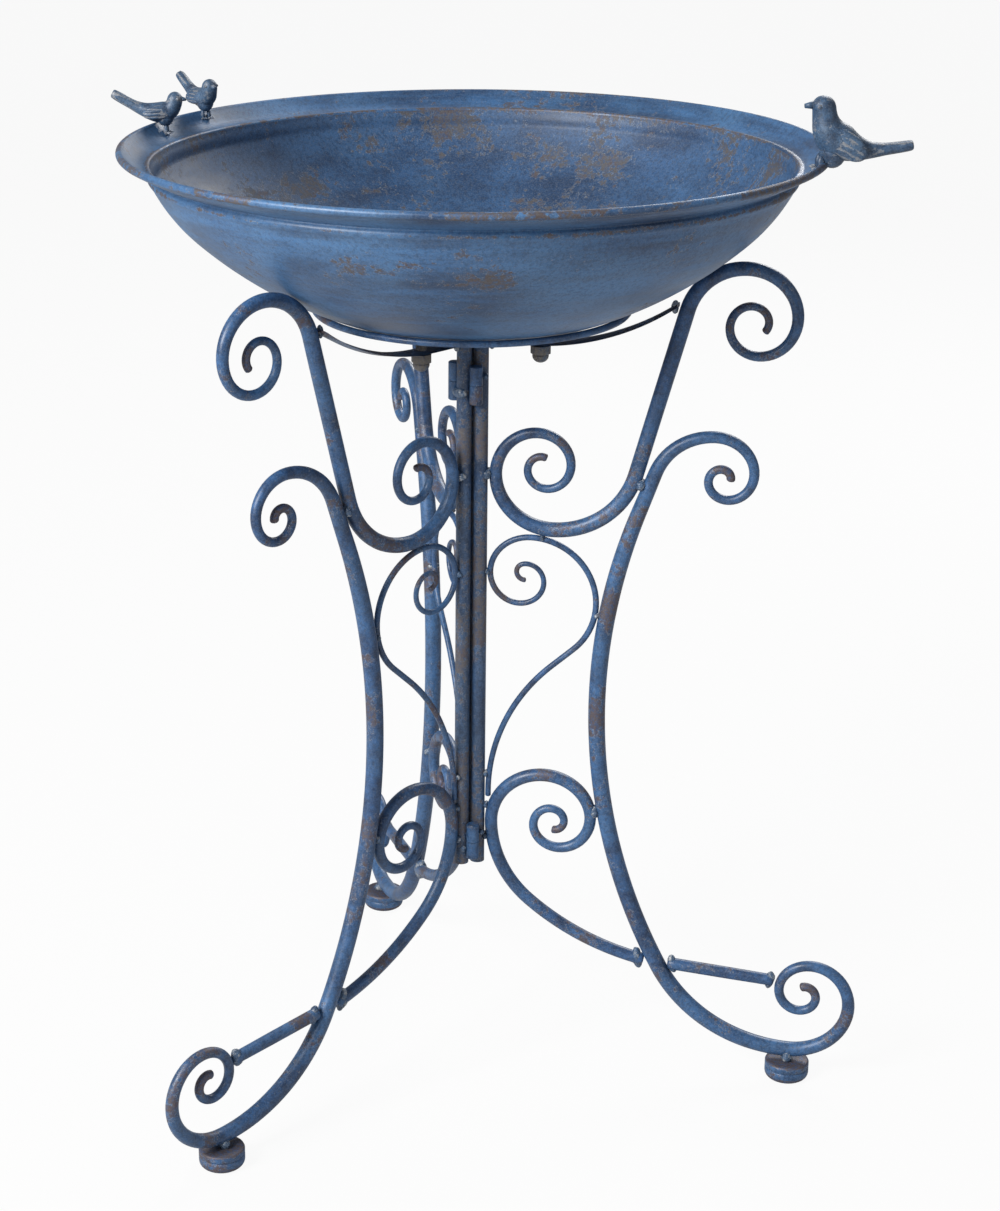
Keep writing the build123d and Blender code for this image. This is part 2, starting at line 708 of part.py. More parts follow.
def hinge_place(azimuth, other):
    """A hinge barrel's middle, in the outer groove between the posts at two azimuths."""
    half_turn = math.radians((other - azimuth + 180) % 360 - 180) / 2
    reach = POST_RADIUS + KNUCKLE_RADIUS + WELD_GAP
    out = POST_CENTRE * math.cos(half_turn) + math.sqrt(reach**2 - (POST_CENTRE * math.sin(half_turn)) ** 2)
    angle = math.radians(azimuth) + half_turn
    return out * math.cos(angle), out * math.sin(angle)


def knuckle(place, rises):
    """Half a hinge barrel, closed at its far end, drawn up or down from the split."""
    towards = Align.MIN if rises else Align.MAX
    with BuildPart() as half:
        with Locations(place):
            Cylinder(KNUCKLE_RADIUS, KNUCKLE_LENGTH, align=(Align.CENTER, Align.CENTER, towards))
            Cylinder(
                PIN_RADIUS + PIN_CLEARANCE,
                KNUCKLE_LENGTH - KNUCKLE_WALL_END,
                align=(Align.CENTER, Align.CENTER, towards),
                mode=Mode.SUBTRACT,
            )
        far = half.faces().sort_by(Axis.Z)[-1 if rises else 0]
        chamfer(far.edges(), KNUCKLE_WALL_END / 4)
    return half.part


def hinge_bead(azimuth, hinge, height):
    """A bead in the outer groove between a post and a hinge barrel beside it."""
    post_x, post_y = POST_CENTRE * math.cos(azimuth), POST_CENTRE * math.sin(azimuth)
    between = math.hypot(hinge[0] - post_x, hinge[1] - post_y)
    near, far = POST_RADIUS + BEAD_SMALL + BEAD_GAP, KNUCKLE_RADIUS + BEAD_SMALL + BEAD_GAP
    along = (between**2 + near**2 - far**2) / (2 * between)
    rise = math.sqrt(near**2 - along**2)
    unit_x, unit_y = (hinge[0] - post_x) / between, (hinge[1] - post_y) / between
    sides = [
        (post_x + along * unit_x - side * rise * unit_y, post_y + along * unit_y + side * rise * unit_x)
        for side in (1, -1)
    ]
    return (*max(sides, key=lambda spot: math.hypot(*spot)), height)


hinge_beads = {side_name: [] for side_name in PANELS}
for side_name, heights in HINGE_MIDDLES.items():
    hinge_x, hinge_y = hinge_place(PANELS[side_name], PANELS["left"])
    print(side_name, "hinge at", round(hinge_x, 3), round(hinge_y, 3))
    for level, middle in heights.items():
        name = f"{side_name}_{level}"
        upper = knuckle((hinge_x, hinge_y, middle + KNUCKLE_GAP / 2), True)
        lower = knuckle((hinge_x, hinge_y, middle - KNUCKLE_GAP / 2), False)
        pin_length = 2 * (KNUCKLE_LENGTH - KNUCKLE_WALL_END) + KNUCKLE_GAP - 2 * PIN_END_GAP
        with BuildPart() as pin:
            with Locations((hinge_x, hinge_y, middle)):
                Cylinder(PIN_RADIUS, pin_length)
        keep(upper, f"{name}_knuckle_upper")
        keep(lower, f"{name}_knuckle_lower")
        keep(pin.part, f"{name}_hinge_pin")
        for panel_name, rise in ((side_name, HINGE_BEAD_RISE), ("left", -HINGE_BEAD_RISE)):
            spot = hinge_bead(math.radians(PANELS[panel_name]), (hinge_x, hinge_y), middle + rise)
            hinge_beads[panel_name].append(spot)
for side_name, spots in hinge_beads.items():
    with BuildPart() as hinge_welds:
        with Locations(*spots):
            Sphere(BEAD_SMALL)
    keep(hinge_welds.part, f"{side_name}_hinge_welds")


# --- Bowl: one section turned about the stand's axis

body_top = bowl_base + BOWL_BODY_HEIGHT
roll_r = RIM_RADIUS - RIM_ROLL
roll_w = body_top + RIM_RISE - RIM_ROLL
underside_path = chain(0, bowl_base, 0, [(BOWL_DISH_BEND, dish_turn), (BOWL_SIDE_BEND, side_end - dish_turn)])
inside_path = chain(
    0,
    bowl_base + BOWL_WALL,
    0,
    [(BOWL_DISH_BEND - BOWL_WALL, dish_turn), (BOWL_SIDE_BEND - BOWL_WALL, side_end - dish_turn)],
)
neck_r = BOWL_BODY_RADIUS - 1
flange_low = (BOWL_BODY_RADIUS + 3, body_top + RIM_NECK)
with BuildPart() as bowl:
    with BuildSketch(PANEL_FACE):
        with BuildLine():
            draw(underside_path)
            outer_end = piece_end(underside_path[-1])[:2]
            inner_end = piece_end(inside_path[-1])[:2]
            Polyline(outer_end, (neck_r, body_top + RIM_NECK / 2), flange_low, (roll_r, roll_w - RIM_ROLL))
            Line((roll_r, roll_w - RIM_ROLL), (roll_r, roll_w))
            Polyline(
                (roll_r, roll_w),
                (flange_low[0] - BOWL_WALL / 2, flange_low[1] + BOWL_WALL),
                (neck_r - BOWL_WALL, body_top + RIM_NECK / 2),
                inner_end,
            )
            draw(inside_path)
            Line((0, bowl_base), (0, bowl_base + BOWL_WALL))
        make_face()
        with Locations((roll_r, roll_w)):
            Circle(RIM_ROLL)
    revolve(axis=Axis.Z)
keep(bowl.part, "bowl")

# Round ring a hair under the bowl
ring_w = solve(
    lambda height: outside_bowl((RING_RADIUS, height), bowl_base) - RING_BAR_RADIUS - RING_GAP,
    bowl_base,
    body_top,
)
with BuildPart() as ring:
    with BuildSketch(PANEL_FACE):
        with Locations((RING_RADIUS, ring_w)):
            Circle(RING_BAR_RADIUS)
    revolve(axis=Axis.Z)
keep(ring.part, "bowl_ring")


# --- Birds: one cast piece each, a body drawn through ellipses from tail to neck


def flange_height(out):
    """Height of the rim's sloping upper face at a distance from the axis."""
    inner_r, inner_w = flange_low[0] - BOWL_WALL / 2, flange_low[1] + BOWL_WALL
    return inner_w + (out - inner_r) * (roll_w - inner_w) / (roll_r - inner_r)


def bird(body, head, beak, legs):
    """A bird facing +X over the origin, which is where it stands."""
    with BuildPart() as cast:
        for x, z, heading, half_height, half_width in body:
            along = (math.cos(math.radians(heading)), 0, math.sin(math.radians(heading)))
            with BuildSketch(Plane(origin=(x, 0, z), x_dir=(0, 1, 0), z_dir=along)):
                Ellipse(half_width, half_height)
        loft()
        head_x, head_z, head_radius = head
        with Locations((head_x, 0, head_z)):
            Sphere(head_radius)
        beak_length, beak_radius, beak_rise = beak
        reach = head_radius * 0.6
        with Locations((head_x + reach, 0, head_z + beak_rise)):
            Cone(
                beak_radius,
                beak_radius / 5,
                head_radius - reach + beak_length,
                rotation=(0, 90, 0),
                align=(Align.CENTER, Align.CENTER, Align.MIN),
            )
        leg_out, leg_back, leg_radius, leg_top = legs
        for side in (-1, 1):
            with Locations((leg_back, side * leg_out, BIRD_GAP)):
                Cylinder(leg_radius, leg_top, align=(Align.CENTER, Align.CENTER, Align.MIN))
    return cast.part


for bird_name, (azimuth, out, facing) in BIRD_PLACES.items():
    model = bird(*BIRDS[bird_name])
    leg_out, leg_forward, leg_radius, leg_top = BIRDS[bird_name][3]
    # The rim slopes, so the bird stands on the outer edge of its outermost leg
    turned = math.radians(facing - azimuth)
    foot_radii = [
        math.hypot(
            out + leg_forward * math.cos(turned) - side * leg_out * math.sin(turned),
            leg_forward * math.sin(turned) + side * leg_out * math.cos(turned),
        )
        for side in (-1, 1)
    ]
    stand_w = flange_height(max(foot_radii) + leg_radius)
    angle = math.radians(azimuth)
    stand = Location((out * math.cos(angle), out * math.sin(angle), stand_w), (0, 0, facing))
    with BuildPart() as perched:
        with Locations(stand):
            add(model)
    keep(perched.part, bird_name)
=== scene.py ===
# %% [markdown]
# # A folding scroll-work bird bath
#
# A dished steel bowl with three small cast birds on its rim sits on three wrought panels. The panels meet at
# three posts in the middle and fold against each other on barrel hinges. The engineering model is the fixed
# frame of this lesson: it gives every place and size, and Blender adds the forged, welded and worn surfaces.

import math
import random

import bmesh
import bpy
from mathutils import Matrix, Vector, noise


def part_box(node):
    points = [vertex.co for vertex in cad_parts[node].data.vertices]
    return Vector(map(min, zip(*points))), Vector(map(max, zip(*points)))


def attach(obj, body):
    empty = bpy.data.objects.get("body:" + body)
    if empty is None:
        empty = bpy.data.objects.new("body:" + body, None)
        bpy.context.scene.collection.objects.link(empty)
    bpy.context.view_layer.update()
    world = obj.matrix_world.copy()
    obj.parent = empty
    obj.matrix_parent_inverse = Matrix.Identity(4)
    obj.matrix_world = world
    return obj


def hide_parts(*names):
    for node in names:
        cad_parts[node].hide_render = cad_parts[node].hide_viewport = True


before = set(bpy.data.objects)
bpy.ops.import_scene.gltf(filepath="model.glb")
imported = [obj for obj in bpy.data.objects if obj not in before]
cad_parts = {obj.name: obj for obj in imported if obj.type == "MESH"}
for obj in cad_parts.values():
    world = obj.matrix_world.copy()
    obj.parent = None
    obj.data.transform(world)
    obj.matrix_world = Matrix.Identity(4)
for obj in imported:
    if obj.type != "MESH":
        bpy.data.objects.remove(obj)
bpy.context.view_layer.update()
MM = 0.001
bowl_low, bowl_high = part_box("bowl")
axis_x = (bowl_low[0] + bowl_high[0]) / 2
axis_y = (bowl_low[1] + bowl_high[1]) / 2
AXIS = Matrix.Translation((axis_x, axis_y, 0))
PANELS = {"right": 0.0, "rear": 117.3, "left": 235.4}

# %% [markdown]
# ## Finishes
#
# All the metal carries the same story: a blue coat, rubbed back to brown-grey steel in patches, with fine
# streaks and speckle. Painting each texture by hand would tie it to one piece, so the wear is built once as
# node groups with named sockets, and each material sets its own amounts. The groups read a position in
# object coordinates, so a pattern stays with its piece when the stand folds.


# %% Small helpers for shader trees
def place_node(tree, kind, **settings):
    """A shader node of a kind, with its settings."""
    made = tree.nodes.new("ShaderNode" + kind)
    for key, value in settings.items():
        setattr(made, key, value)
    return made


def feed(tree, made, **values):
    """Links or sets a node's inputs, named with _ for a space; returns its first output."""
    for key, value in values.items():
        socket = made.inputs[int(key[1:])] if key[1:].isdigit() else made.inputs[key.replace("_", " ")]
        if isinstance(value, bpy.types.NodeSocket):
            tree.links.new(value, socket)
        else:
            socket.default_value = value
    return made.outputs[0] if made.outputs else None


def maths(tree, operation, first, second=0.0, clamp=False):
    """One Math node."""
    return feed(tree, place_node(tree, "Math", operation=operation, use_clamp=clamp), i0=first, i1=second)


def speckle(tree, place, size, detail, roughness=0.6):
    """Noise of a size, as features per metre."""
    made = place_node(tree, "TexNoise", normalize=True)
    return feed(tree, made, Vector=place, Scale=size, Detail=detail, Roughness=roughness)


def squeeze(tree, value, low, high, to_low=0.0, to_high=1.0):
    """Map Range with clamped ends."""
    made = place_node(tree, "MapRange", interpolation_type="SMOOTHSTEP")
    return feed(tree, made, Value=value, From_Min=low, From_Max=high, To_Min=to_low, To_Max=to_high)


def blend_colours(tree, share, first, second):
    """Mix of two colours."""
    made = place_node(tree, "Mix", data_type="RGBA")
    feed(tree, made, i0=share, i6=first, i7=second)
    return made.outputs[2]


def new_group(name, inputs, outputs):
    """An empty node group with its sockets; returns the tree, its inputs and its output node."""
    tree = bpy.data.node_groups.new(name, "ShaderNodeTree")
    for socket_name, kind, value in inputs:
        socket = tree.interface.new_socket(name=socket_name, in_out="INPUT", socket_type=kind)
        if value is not None:
            socket.default_value = value
    for socket_name, kind in outputs:
        tree.interface.new_socket(name=socket_name, in_out="OUTPUT", socket_type=kind)
    entry = tree.nodes.new("NodeGroupInput")
    return tree, entry.outputs, tree.nodes.new("NodeGroupOutput")


def use_group(tree, group, **values):
    """A group placed in a material, with its inputs set; returns its outputs."""
    made = place_node(tree, "Group", node_tree=group)
    feed(tree, made, **values)
    return made.outputs


# %% [markdown]
# ### Rubbed-back paint
#
# Paint wears through in islands with ragged edges. One noise gives the islands, a finer one frays their
# edges, and a threshold turns the sum into a mask. The Bias input lets a piece ask for more wear in a place,
# such as the tip of a scroll.

# %% Group: rubbed_back
rubbed_back, given, out = new_group(
    "rubbed_back",
    [
        ("Place", "NodeSocketVector", None),
        ("Island Size", "NodeSocketFloat", 28.0),
        ("Fray", "NodeSocketFloat", 0.35),
        ("Amount", "NodeSocketFloat", 0.4),
        ("Bias", "NodeSocketFloat", 0.0),
    ],
    [("Mask", "NodeSocketFloat"), ("Edge", "NodeSocketFloat")],
)
island = speckle(rubbed_back, given["Place"], given["Island Size"], 3.0, 0.55)
fine_size = maths(rubbed_back, "MULTIPLY", given["Island Size"], 9.0)
fray = maths(rubbed_back, "SUBTRACT", speckle(rubbed_back, given["Place"], fine_size, 6.0, 0.7), 0.5)
ragged = maths(rubbed_back, "ADD", island, maths(rubbed_back, "MULTIPLY", fray, given["Fray"]))
ragged = maths(rubbed_back, "ADD", ragged, given["Bias"])
cut = maths(rubbed_back, "SUBTRACT", 1.0, given["Amount"])
over = maths(rubbed_back, "SUBTRACT", ragged, cut)
feed(
    rubbed_back,
    out,
    Mask=squeeze(rubbed_back, over, -0.03, 0.05),
    Edge=squeeze(rubbed_back, maths(rubbed_back, "ABSOLUTE", over), 0.03, 0.0),
)
print("group", rubbed_back.name)

# %% [markdown]
# ### Brush streaks and hammered grain
#
# The coat was wiped on and rubbed off, which leaves long faint streaks. A noise read through a stretched
# position gives them. Forged bar is never smooth either: a second group gives a height made of shallow
# dents and fine scale, which goes to a Bump node in each material.

# %% Groups: wiped_streaks and forge_grain
wiped_streaks, given, out = new_group(
    "wiped_streaks",
    [
        ("Place", "NodeSocketVector", None),
        ("Stretch", "NodeSocketVector", (1.0, 1.0, 1.0)),
        ("Size", "NodeSocketFloat", 40.0),
    ],
    [("Streak", "NodeSocketFloat")],
)
drawn = place_node(wiped_streaks, "VectorMath", operation="MULTIPLY")
drawn = feed(wiped_streaks, drawn, i0=given["Place"], i1=given["Stretch"])
streaky = speckle(wiped_streaks, drawn, given["Size"], 5.0, 0.65)
feed(wiped_streaks, out, Streak=squeeze(wiped_streaks, streaky, 0.3, 0.7))

forge_grain, given, out = new_group(
    "forge_grain",
    [
        ("Place", "NodeSocketVector", None),
        ("Dent Size", "NodeSocketFloat", 90.0),
        ("Scale Size", "NodeSocketFloat", 900.0),
        ("Scale Share", "NodeSocketFloat", 0.3),
    ],
    [("Height", "NodeSocketFloat"), ("Speck", "NodeSocketFloat")],
)
dents = speckle(forge_grain, given["Place"], given["Dent Size"], 2.0, 0.5)
scale_noise = speckle(forge_grain, given["Place"], given["Scale Size"], 3.0, 0.7)
height = maths(forge_grain, "ADD", dents, maths(forge_grain, "MULTIPLY", scale_noise, given["Scale Share"]))
feed(forge_grain, out, Height=height, Speck=squeeze(forge_grain, scale_noise, 0.42, 0.66))
print("groups", wiped_streaks.name, forge_grain.name)

# %% [markdown]
# ### The painted finishes
#
# One maker function keeps the order of the layers the same everywhere: a deep and a mid blue mixed by the
# streaks, a light rubbed blue, then bare steel through the wear mask with rust in its middle, then pale
# specks. Each finish below only says its own colours and amounts. Roughness and metalness follow the mask.


# %% Painted metal
# How far the worn attribute pulls at the wear mask, and the colour of the pale specks
WORN_PULL = 0.42
PALE_SPECK = (0.42, 0.47, 0.52, 1)


def painted_metal(name, deep, mid, light, bare, rust, **amounts):
    """Blue coat over steel: colours from deep to light, the steel under it, its rust, and the amounts."""
    want = {
        "islands": 28.0,
        "wear": 0.4,
        "fray": 0.35,
        "streak": (1.0, 1.0, 1.0),
        "streak_size": 40.0,
        "dent_size": 90.0,
        "bump": 0.25,
        "depth": 0.0006,
        "rough": 0.42,
        "pale": 0.35,
        "rusty": 0.35,
        "light_share": 0.5,
        "mottle": 0.55,
        "mottle_size": 330.0,
        "bias": 0.0,
    }
    want.update(amounts)
    material = bpy.data.materials.new(name)
    material.use_nodes = True
    tree = material.node_tree
    shader = tree.nodes["Principled BSDF"]
    coordinates = place_node(tree, "TexCoord").outputs["Object"]
    centred = place_node(tree, "Mapping")
    place = feed(tree, centred, Vector=coordinates, Location=(-axis_x, -axis_y, 0.0))
    bias = want["bias"]
    if isinstance(bias, str):
        marked = place_node(tree, "Attribute", attribute_name=bias).outputs["Fac"]
        bias = maths(tree, "MULTIPLY", marked, WORN_PULL)
    worn = use_group(
        tree, rubbed_back, Place=place, Island_Size=want["islands"], Fray=want["fray"], Amount=want["wear"],
        Bias=bias,
    )
    streak = use_group(tree, wiped_streaks, Place=place, Stretch=want["streak"], Size=want["streak_size"])[0]
    grain = use_group(tree, forge_grain, Place=place, Dent_Size=want["dent_size"])
    cloud = squeeze(tree, speckle(tree, place, want["islands"] * 0.55, 4.0), 0.38, 0.66)
    coat = blend_colours(tree, streak, (*deep, 1), (*mid, 1))
    lifted = maths(tree, "MULTIPLY", cloud, want["light_share"])
    coat = blend_colours(tree, lifted, coat, (*light, 1))
    mottle = squeeze(tree, speckle(tree, place, want["mottle_size"], 5.0, 0.75), 0.45, 0.62)
    shaded = maths(tree, "MULTIPLY", mottle, want["mottle"])
    coat = blend_colours(tree, shaded, coat, (*[0.5 * c for c in deep], 1))
    rust_mask = squeeze(tree, speckle(tree, place, want["islands"] * 3.0, 5.0, 0.7), 0.5, 0.62)
    rust_mask = maths(tree, "MULTIPLY", rust_mask, want["rusty"])
    steel = blend_colours(tree, rust_mask, (*bare, 1), (*rust, 1))
    steel = blend_colours(tree, maths(tree, "MULTIPLY", mottle, 0.6), steel, (*mid, 1))
    colour = blend_colours(tree, worn["Mask"], coat, steel)
    pale = maths(tree, "MULTIPLY", grain["Speck"], want["pale"])
    pale = maths(tree, "MULTIPLY", pale, maths(tree, "ADD", worn["Edge"], 0.25, clamp=True))
    colour = blend_colours(tree, pale, colour, PALE_SPECK)
    feed(tree, shader, Base_Color=colour)
    shift = maths(tree, "MULTIPLY", worn["Mask"], 0.14)
    coarse = maths(tree, "MULTIPLY", streak, 0.1)
    rough = maths(tree, "ADD", maths(tree, "ADD", want["rough"], shift), coarse)
    feed(tree, shader, Roughness=rough, Metallic=maths(tree, "MULTIPLY", worn["Mask"], 0.35))
    coat_edge = maths(tree, "MULTIPLY", worn["Mask"], -0.35)
    bump = place_node(tree, "Bump")
    raised = maths(tree, "ADD", grain["Height"], coat_edge)
    relief = feed(tree, bump, Height=raised, Strength=want["bump"], Distance=want["depth"])
    feed(tree, shader, Normal=relief)
    return material


DEEP, MID, LIGHT = (0.008, 0.024, 0.07), (0.026, 0.088, 0.225), (0.055, 0.155, 0.33)
BARE, RUST = (0.088, 0.072, 0.08), (0.088, 0.046, 0.044)
bar_blue = painted_metal(
    "bar_blue", DEEP, MID, LIGHT, BARE, RUST,
    bias="worn", islands=23.0, wear=0.41, fray=0.55, streak_size=80.0, rough=0.36, mottle=0.45,
)
bowl_outside = painted_metal(
    "bowl_outside", (0.012, 0.038, 0.10), (0.038, 0.125, 0.29), (0.085, 0.215, 0.42), (0.10, 0.085, 0.085),
    RUST, bias="worn", islands=15.0, wear=0.32, fray=0.95, streak=(0.3, 0.3, 3.2), streak_size=36.0,
    bump=0.14, rough=0.38, mottle=0.4,
)
bowl_inside = painted_metal(
    "bowl_inside", (0.010, 0.032, 0.085), (0.024, 0.082, 0.2), (0.045, 0.125, 0.27), (0.088, 0.085, 0.092),
    RUST, bias="worn", islands=21.0, wear=0.41, fray=0.95, streak=(0.5, 0.5, 1.6), streak_size=38.0,
    bump=0.16, rough=0.5, mottle=0.5,
)
bird_blue = painted_metal(
    "bird_blue", (0.014, 0.03, 0.065), (0.036, 0.085, 0.17), (0.07, 0.14, 0.24),
    (0.24, 0.25, 0.27), (0.12, 0.10, 0.09),
    bias="worn", islands=120.0, wear=0.36, fray=0.6, streak_size=160.0, dent_size=260.0,
    bump=0.3, depth=0.0004, mottle_size=700.0,
)
post_grey = painted_metal(
    "post_grey", (0.012, 0.03, 0.075), (0.028, 0.078, 0.185), (0.075, 0.14, 0.25), (0.115, 0.105, 0.11), RUST,
    islands=24.0, wear=0.49, fray=0.8, streak=(1.0, 1.0, 0.3), streak_size=90.0,
)
weld_silver = painted_metal(
    "weld_silver", (0.014, 0.035, 0.08), (0.035, 0.085, 0.18), (0.10, 0.17, 0.27),
    (0.34, 0.36, 0.38), (0.16, 0.12, 0.11),
    bias="worn", islands=190.0, wear=0.33, fray=0.7, dent_size=420.0,
    bump=0.6, rough=0.34, pale=0.6, rusty=0.2,
)
nut_zinc = painted_metal(
    "nut_zinc", (0.03, 0.05, 0.09), (0.06, 0.09, 0.15), (0.12, 0.15, 0.2), (0.17, 0.15, 0.13),
    (0.14, 0.09, 0.06), islands=110.0, wear=0.6, fray=0.5, dent_size=300.0, bump=0.3, rough=0.38,
)
print("finishes", len(bpy.data.materials))

# %% [markdown]
# ## The bars' paths
#
# Each bar is bent flat, in its panel's own plane: u runs outward from the stand's middle and w is height. A
# bend is a piece (u, w, heading, size, turn): a straight of a length when turn is 0, otherwise an arc of a
# radius. A volute is a run of arcs that each shrink by the same ratio, which is how a smith rolls one up.
# The same sizes made the engineering model, so the bars land where it says.


# %% Path helpers
def piece_end(piece):
    """Where a straight or arc ends, and its heading there."""
    u, w, heading, size, turn = piece
    angle = math.radians(heading)
    if turn == 0:
        return u + size * math.cos(angle), w + size * math.sin(angle), heading
    side, last = math.copysign(1, turn), math.radians(heading + turn)
    centre_u, centre_w = u - side * size * math.sin(angle), w + side * size * math.cos(angle)
    return centre_u + side * size * math.sin(last), centre_w - side * size * math.cos(last), heading + turn


def piece_at(piece, share):
    """Place and heading part of the way along a piece."""
    u, w, heading, size, turn = piece
    if share == 0:
        return u, w, heading
    return piece_end((u, w, heading, size * share, 0) if turn == 0 else (u, w, heading, size, turn * share))


def chain(u, w, heading, moves):
    """Moves (size, turn) laid end to end."""
    pieces = []
    for size, turn in moves:
        pieces.append((u, w, heading, size, turn))
        u, w, heading = piece_end(pieces[-1])
    return pieces


def backwards(pieces):
    """The same path from its other end."""
    turned = []
    for piece in reversed(pieces):
        u, w, heading = piece_end(piece)
        turned.append((u, w, heading + 180, piece[3], -piece[4]))
    return turned


def volute(radius, shrink, turn, side):
    """Moves of a volute that shrinks by a ratio every half turn."""
    moves, walked = [], 0.0
    while walked < turn - 0.01:
        step = min(30.0, turn - walked)
        moves.append((radius * shrink ** ((walked + step / 2) / 180), side * step))
        walked += step
    return moves


def piece_length(piece):
    """Length of one straight or arc."""
    return piece[3] * (math.radians(abs(piece[4])) if piece[4] else 1)


def path_length(pieces):
    """Length of a whole path."""
    return sum(map(piece_length, pieces))


sample = chain(0, 0, 0, volute(40, 0.575, 490, 1))
print("a 40 mm volute of 490 degrees is", round(path_length(sample)), "mm long")

# %% The six paths of a panel, in millimetres
SCROLL_BAR, LEG_BAR, CURL_BAR, BRACE_BAR, FILLER_BAR = 5.7, 6.4, 4.9, 4.7, 2.3
scroll_rise = chain(62.1, 436.5, 0, [(62, 75), (128.29, 0), (42, -75)])
scroll_top_u = piece_end(scroll_rise[-1])[0]
s_scroll = (
    backwards(chain(62.1, 436.5, 180, volute(48, 0.575, 560, -1)))
    + scroll_rise
    + chain(scroll_top_u, 637.5, 0, volute(41, 0.575, 490, -1))
)
leg_run = chain(178.42, 514, 180, [(45, 70), (32, 0), (454.75, 48), (116.66, 62)])
leg = (
    backwards(chain(178.42, 514, 0, volute(33, 0.49, 460, -1)))
    + leg_run
    + chain(*piece_end(leg_run[-1])[:2], 0, volute(50, 0.53, 560, 1))
)
curl_tail = chain(58.97, 239, 180, [(41, 90), (85, 50), (200, 28.67)])
curl_rod = backwards(chain(58.97, 239, 0, volute(40.34, 0.54, 550, -1))) + curl_tail
foot_brace = chain(238.31, 82.06, 175.5, [(78.58, 0)])
thin_turn = chain(45.85, 429.48, 0, [(49.4, -138)])
thin_scroll = (
    backwards(chain(45.85, 429.48, 180, [*volute(33.5, 0.6, 370, 1), (6.3, 170)]))
    + thin_turn
    + chain(*piece_end(thin_turn[-1])[:2], -138, [(21.82, 0), (143, 48), (3.77, 0)])
)
BARS = {
    "s_scroll": s_scroll,
    "leg": leg,
    "curl_rod": curl_rod,
    "foot_brace": foot_brace,
    "thin_scroll": thin_scroll,
}
for bar_name, pieces in BARS.items():
    low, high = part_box("right_" + bar_name)
    model_box = [round(v / MM, 1) for v in (low[0] - axis_x, high[0] - axis_x, low[2], high[2])]
    print(bar_name, "length", round(path_length(pieces)), "model box mm", model_box)

# %% [markdown]
# ## Forging a bar
#
# A curve with a round bevel would give an even tube, but these bars thin towards their tips and their ends
# are dressed round. So a ring is pushed along the path: an arc is spun in short steps and a straight is
# extruded, and after each step the new ring is scaled to the bar's thickness there. A vertex attribute,
# worn, grows towards the tips, where hands and hammer took the paint off.


# %% From a bmesh to an object on its body
def finish_mesh(name, bm, material, body, smooth=True):
    """Merges, turns the faces outwards, and makes the object that rides on a body."""
    bmesh.ops.remove_doubles(bm, verts=bm.verts, dist=1e-6)
    bmesh.ops.recalc_face_normals(bm, faces=bm.faces)
    mesh = bpy.data.meshes.new(name)
    bm.to_mesh(mesh)
    bm.free()
    made = bpy.data.objects.new(name, mesh)
    bpy.context.scene.collection.objects.link(made)
    for one in material if isinstance(material, (list, tuple)) else (material,):
        mesh.materials.append(one)
    for polygon in mesh.polygons:
        polygon.use_smooth = smooth
    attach(made, body)
    return made


# %% Push a ring along a path
def ring_of(bm, radius, place, sides):
    """A capped circle turned square to a heading."""
    u, w, heading = place
    turned = Matrix.Translation((u, 0, w)) @ Matrix.Rotation(math.radians(90 - heading), 4, "Y")
    bmesh.ops.create_circle(bm, cap_ends=True, segments=sides, radius=radius, matrix=turned)
    return list(bm.edges)


def grown_ring(geometry):
    """The edges and vertices of the ring that an operator gave back."""
    verts = [item for item in geometry if isinstance(item, bmesh.types.BMVert)]
    inside = set(verts)
    edges = [e for e in geometry if isinstance(e, bmesh.types.BMEdge) and inside.issuperset(e.verts)]
    return edges, verts


def push_ring(bm, edges, piece, share, scale):
    """Carries the ring over a share of a piece, then scales it about the bar's middle."""
    u, w, heading, size, turn = piece
    angle = math.radians(heading)
    if turn == 0:
        ring, verts = grown_ring(bmesh.ops.extrude_edge_only(bm, edges=edges)["geom"])
        step = Vector((math.cos(angle), 0, math.sin(angle))) * size * share
        bmesh.ops.translate(bm, vec=step, verts=verts)
    else:
        side = math.copysign(1, turn)
        centre = Vector((u - side * size * math.sin(angle), 0, w + side * size * math.cos(angle)))
        grown = bmesh.ops.spin(
            bm, geom=edges, cent=centre, axis=(0, -1, 0), angle=math.radians(turn * share), steps=1,
            use_merge=False,
        )["geom_last"]
        ring, verts = grown_ring(grown)
    middle = sum((v.co for v in verts), Vector()) / len(verts)
    bmesh.ops.scale(bm, vec=(scale,) * 3, space=Matrix.Translation(-middle), verts=verts)
    return ring, verts


# %% Forge a bar
# A dressed end: the length of each step and the ring's size there, as shares of the bar's thickness
TIP = 0.55
DRESSED_START, DRESSED_END = ((0.15, 0.82), (0.25, 1.0)), ((0.25, 0.82), (0.15, TIP))
TURN_PER_RING = 8


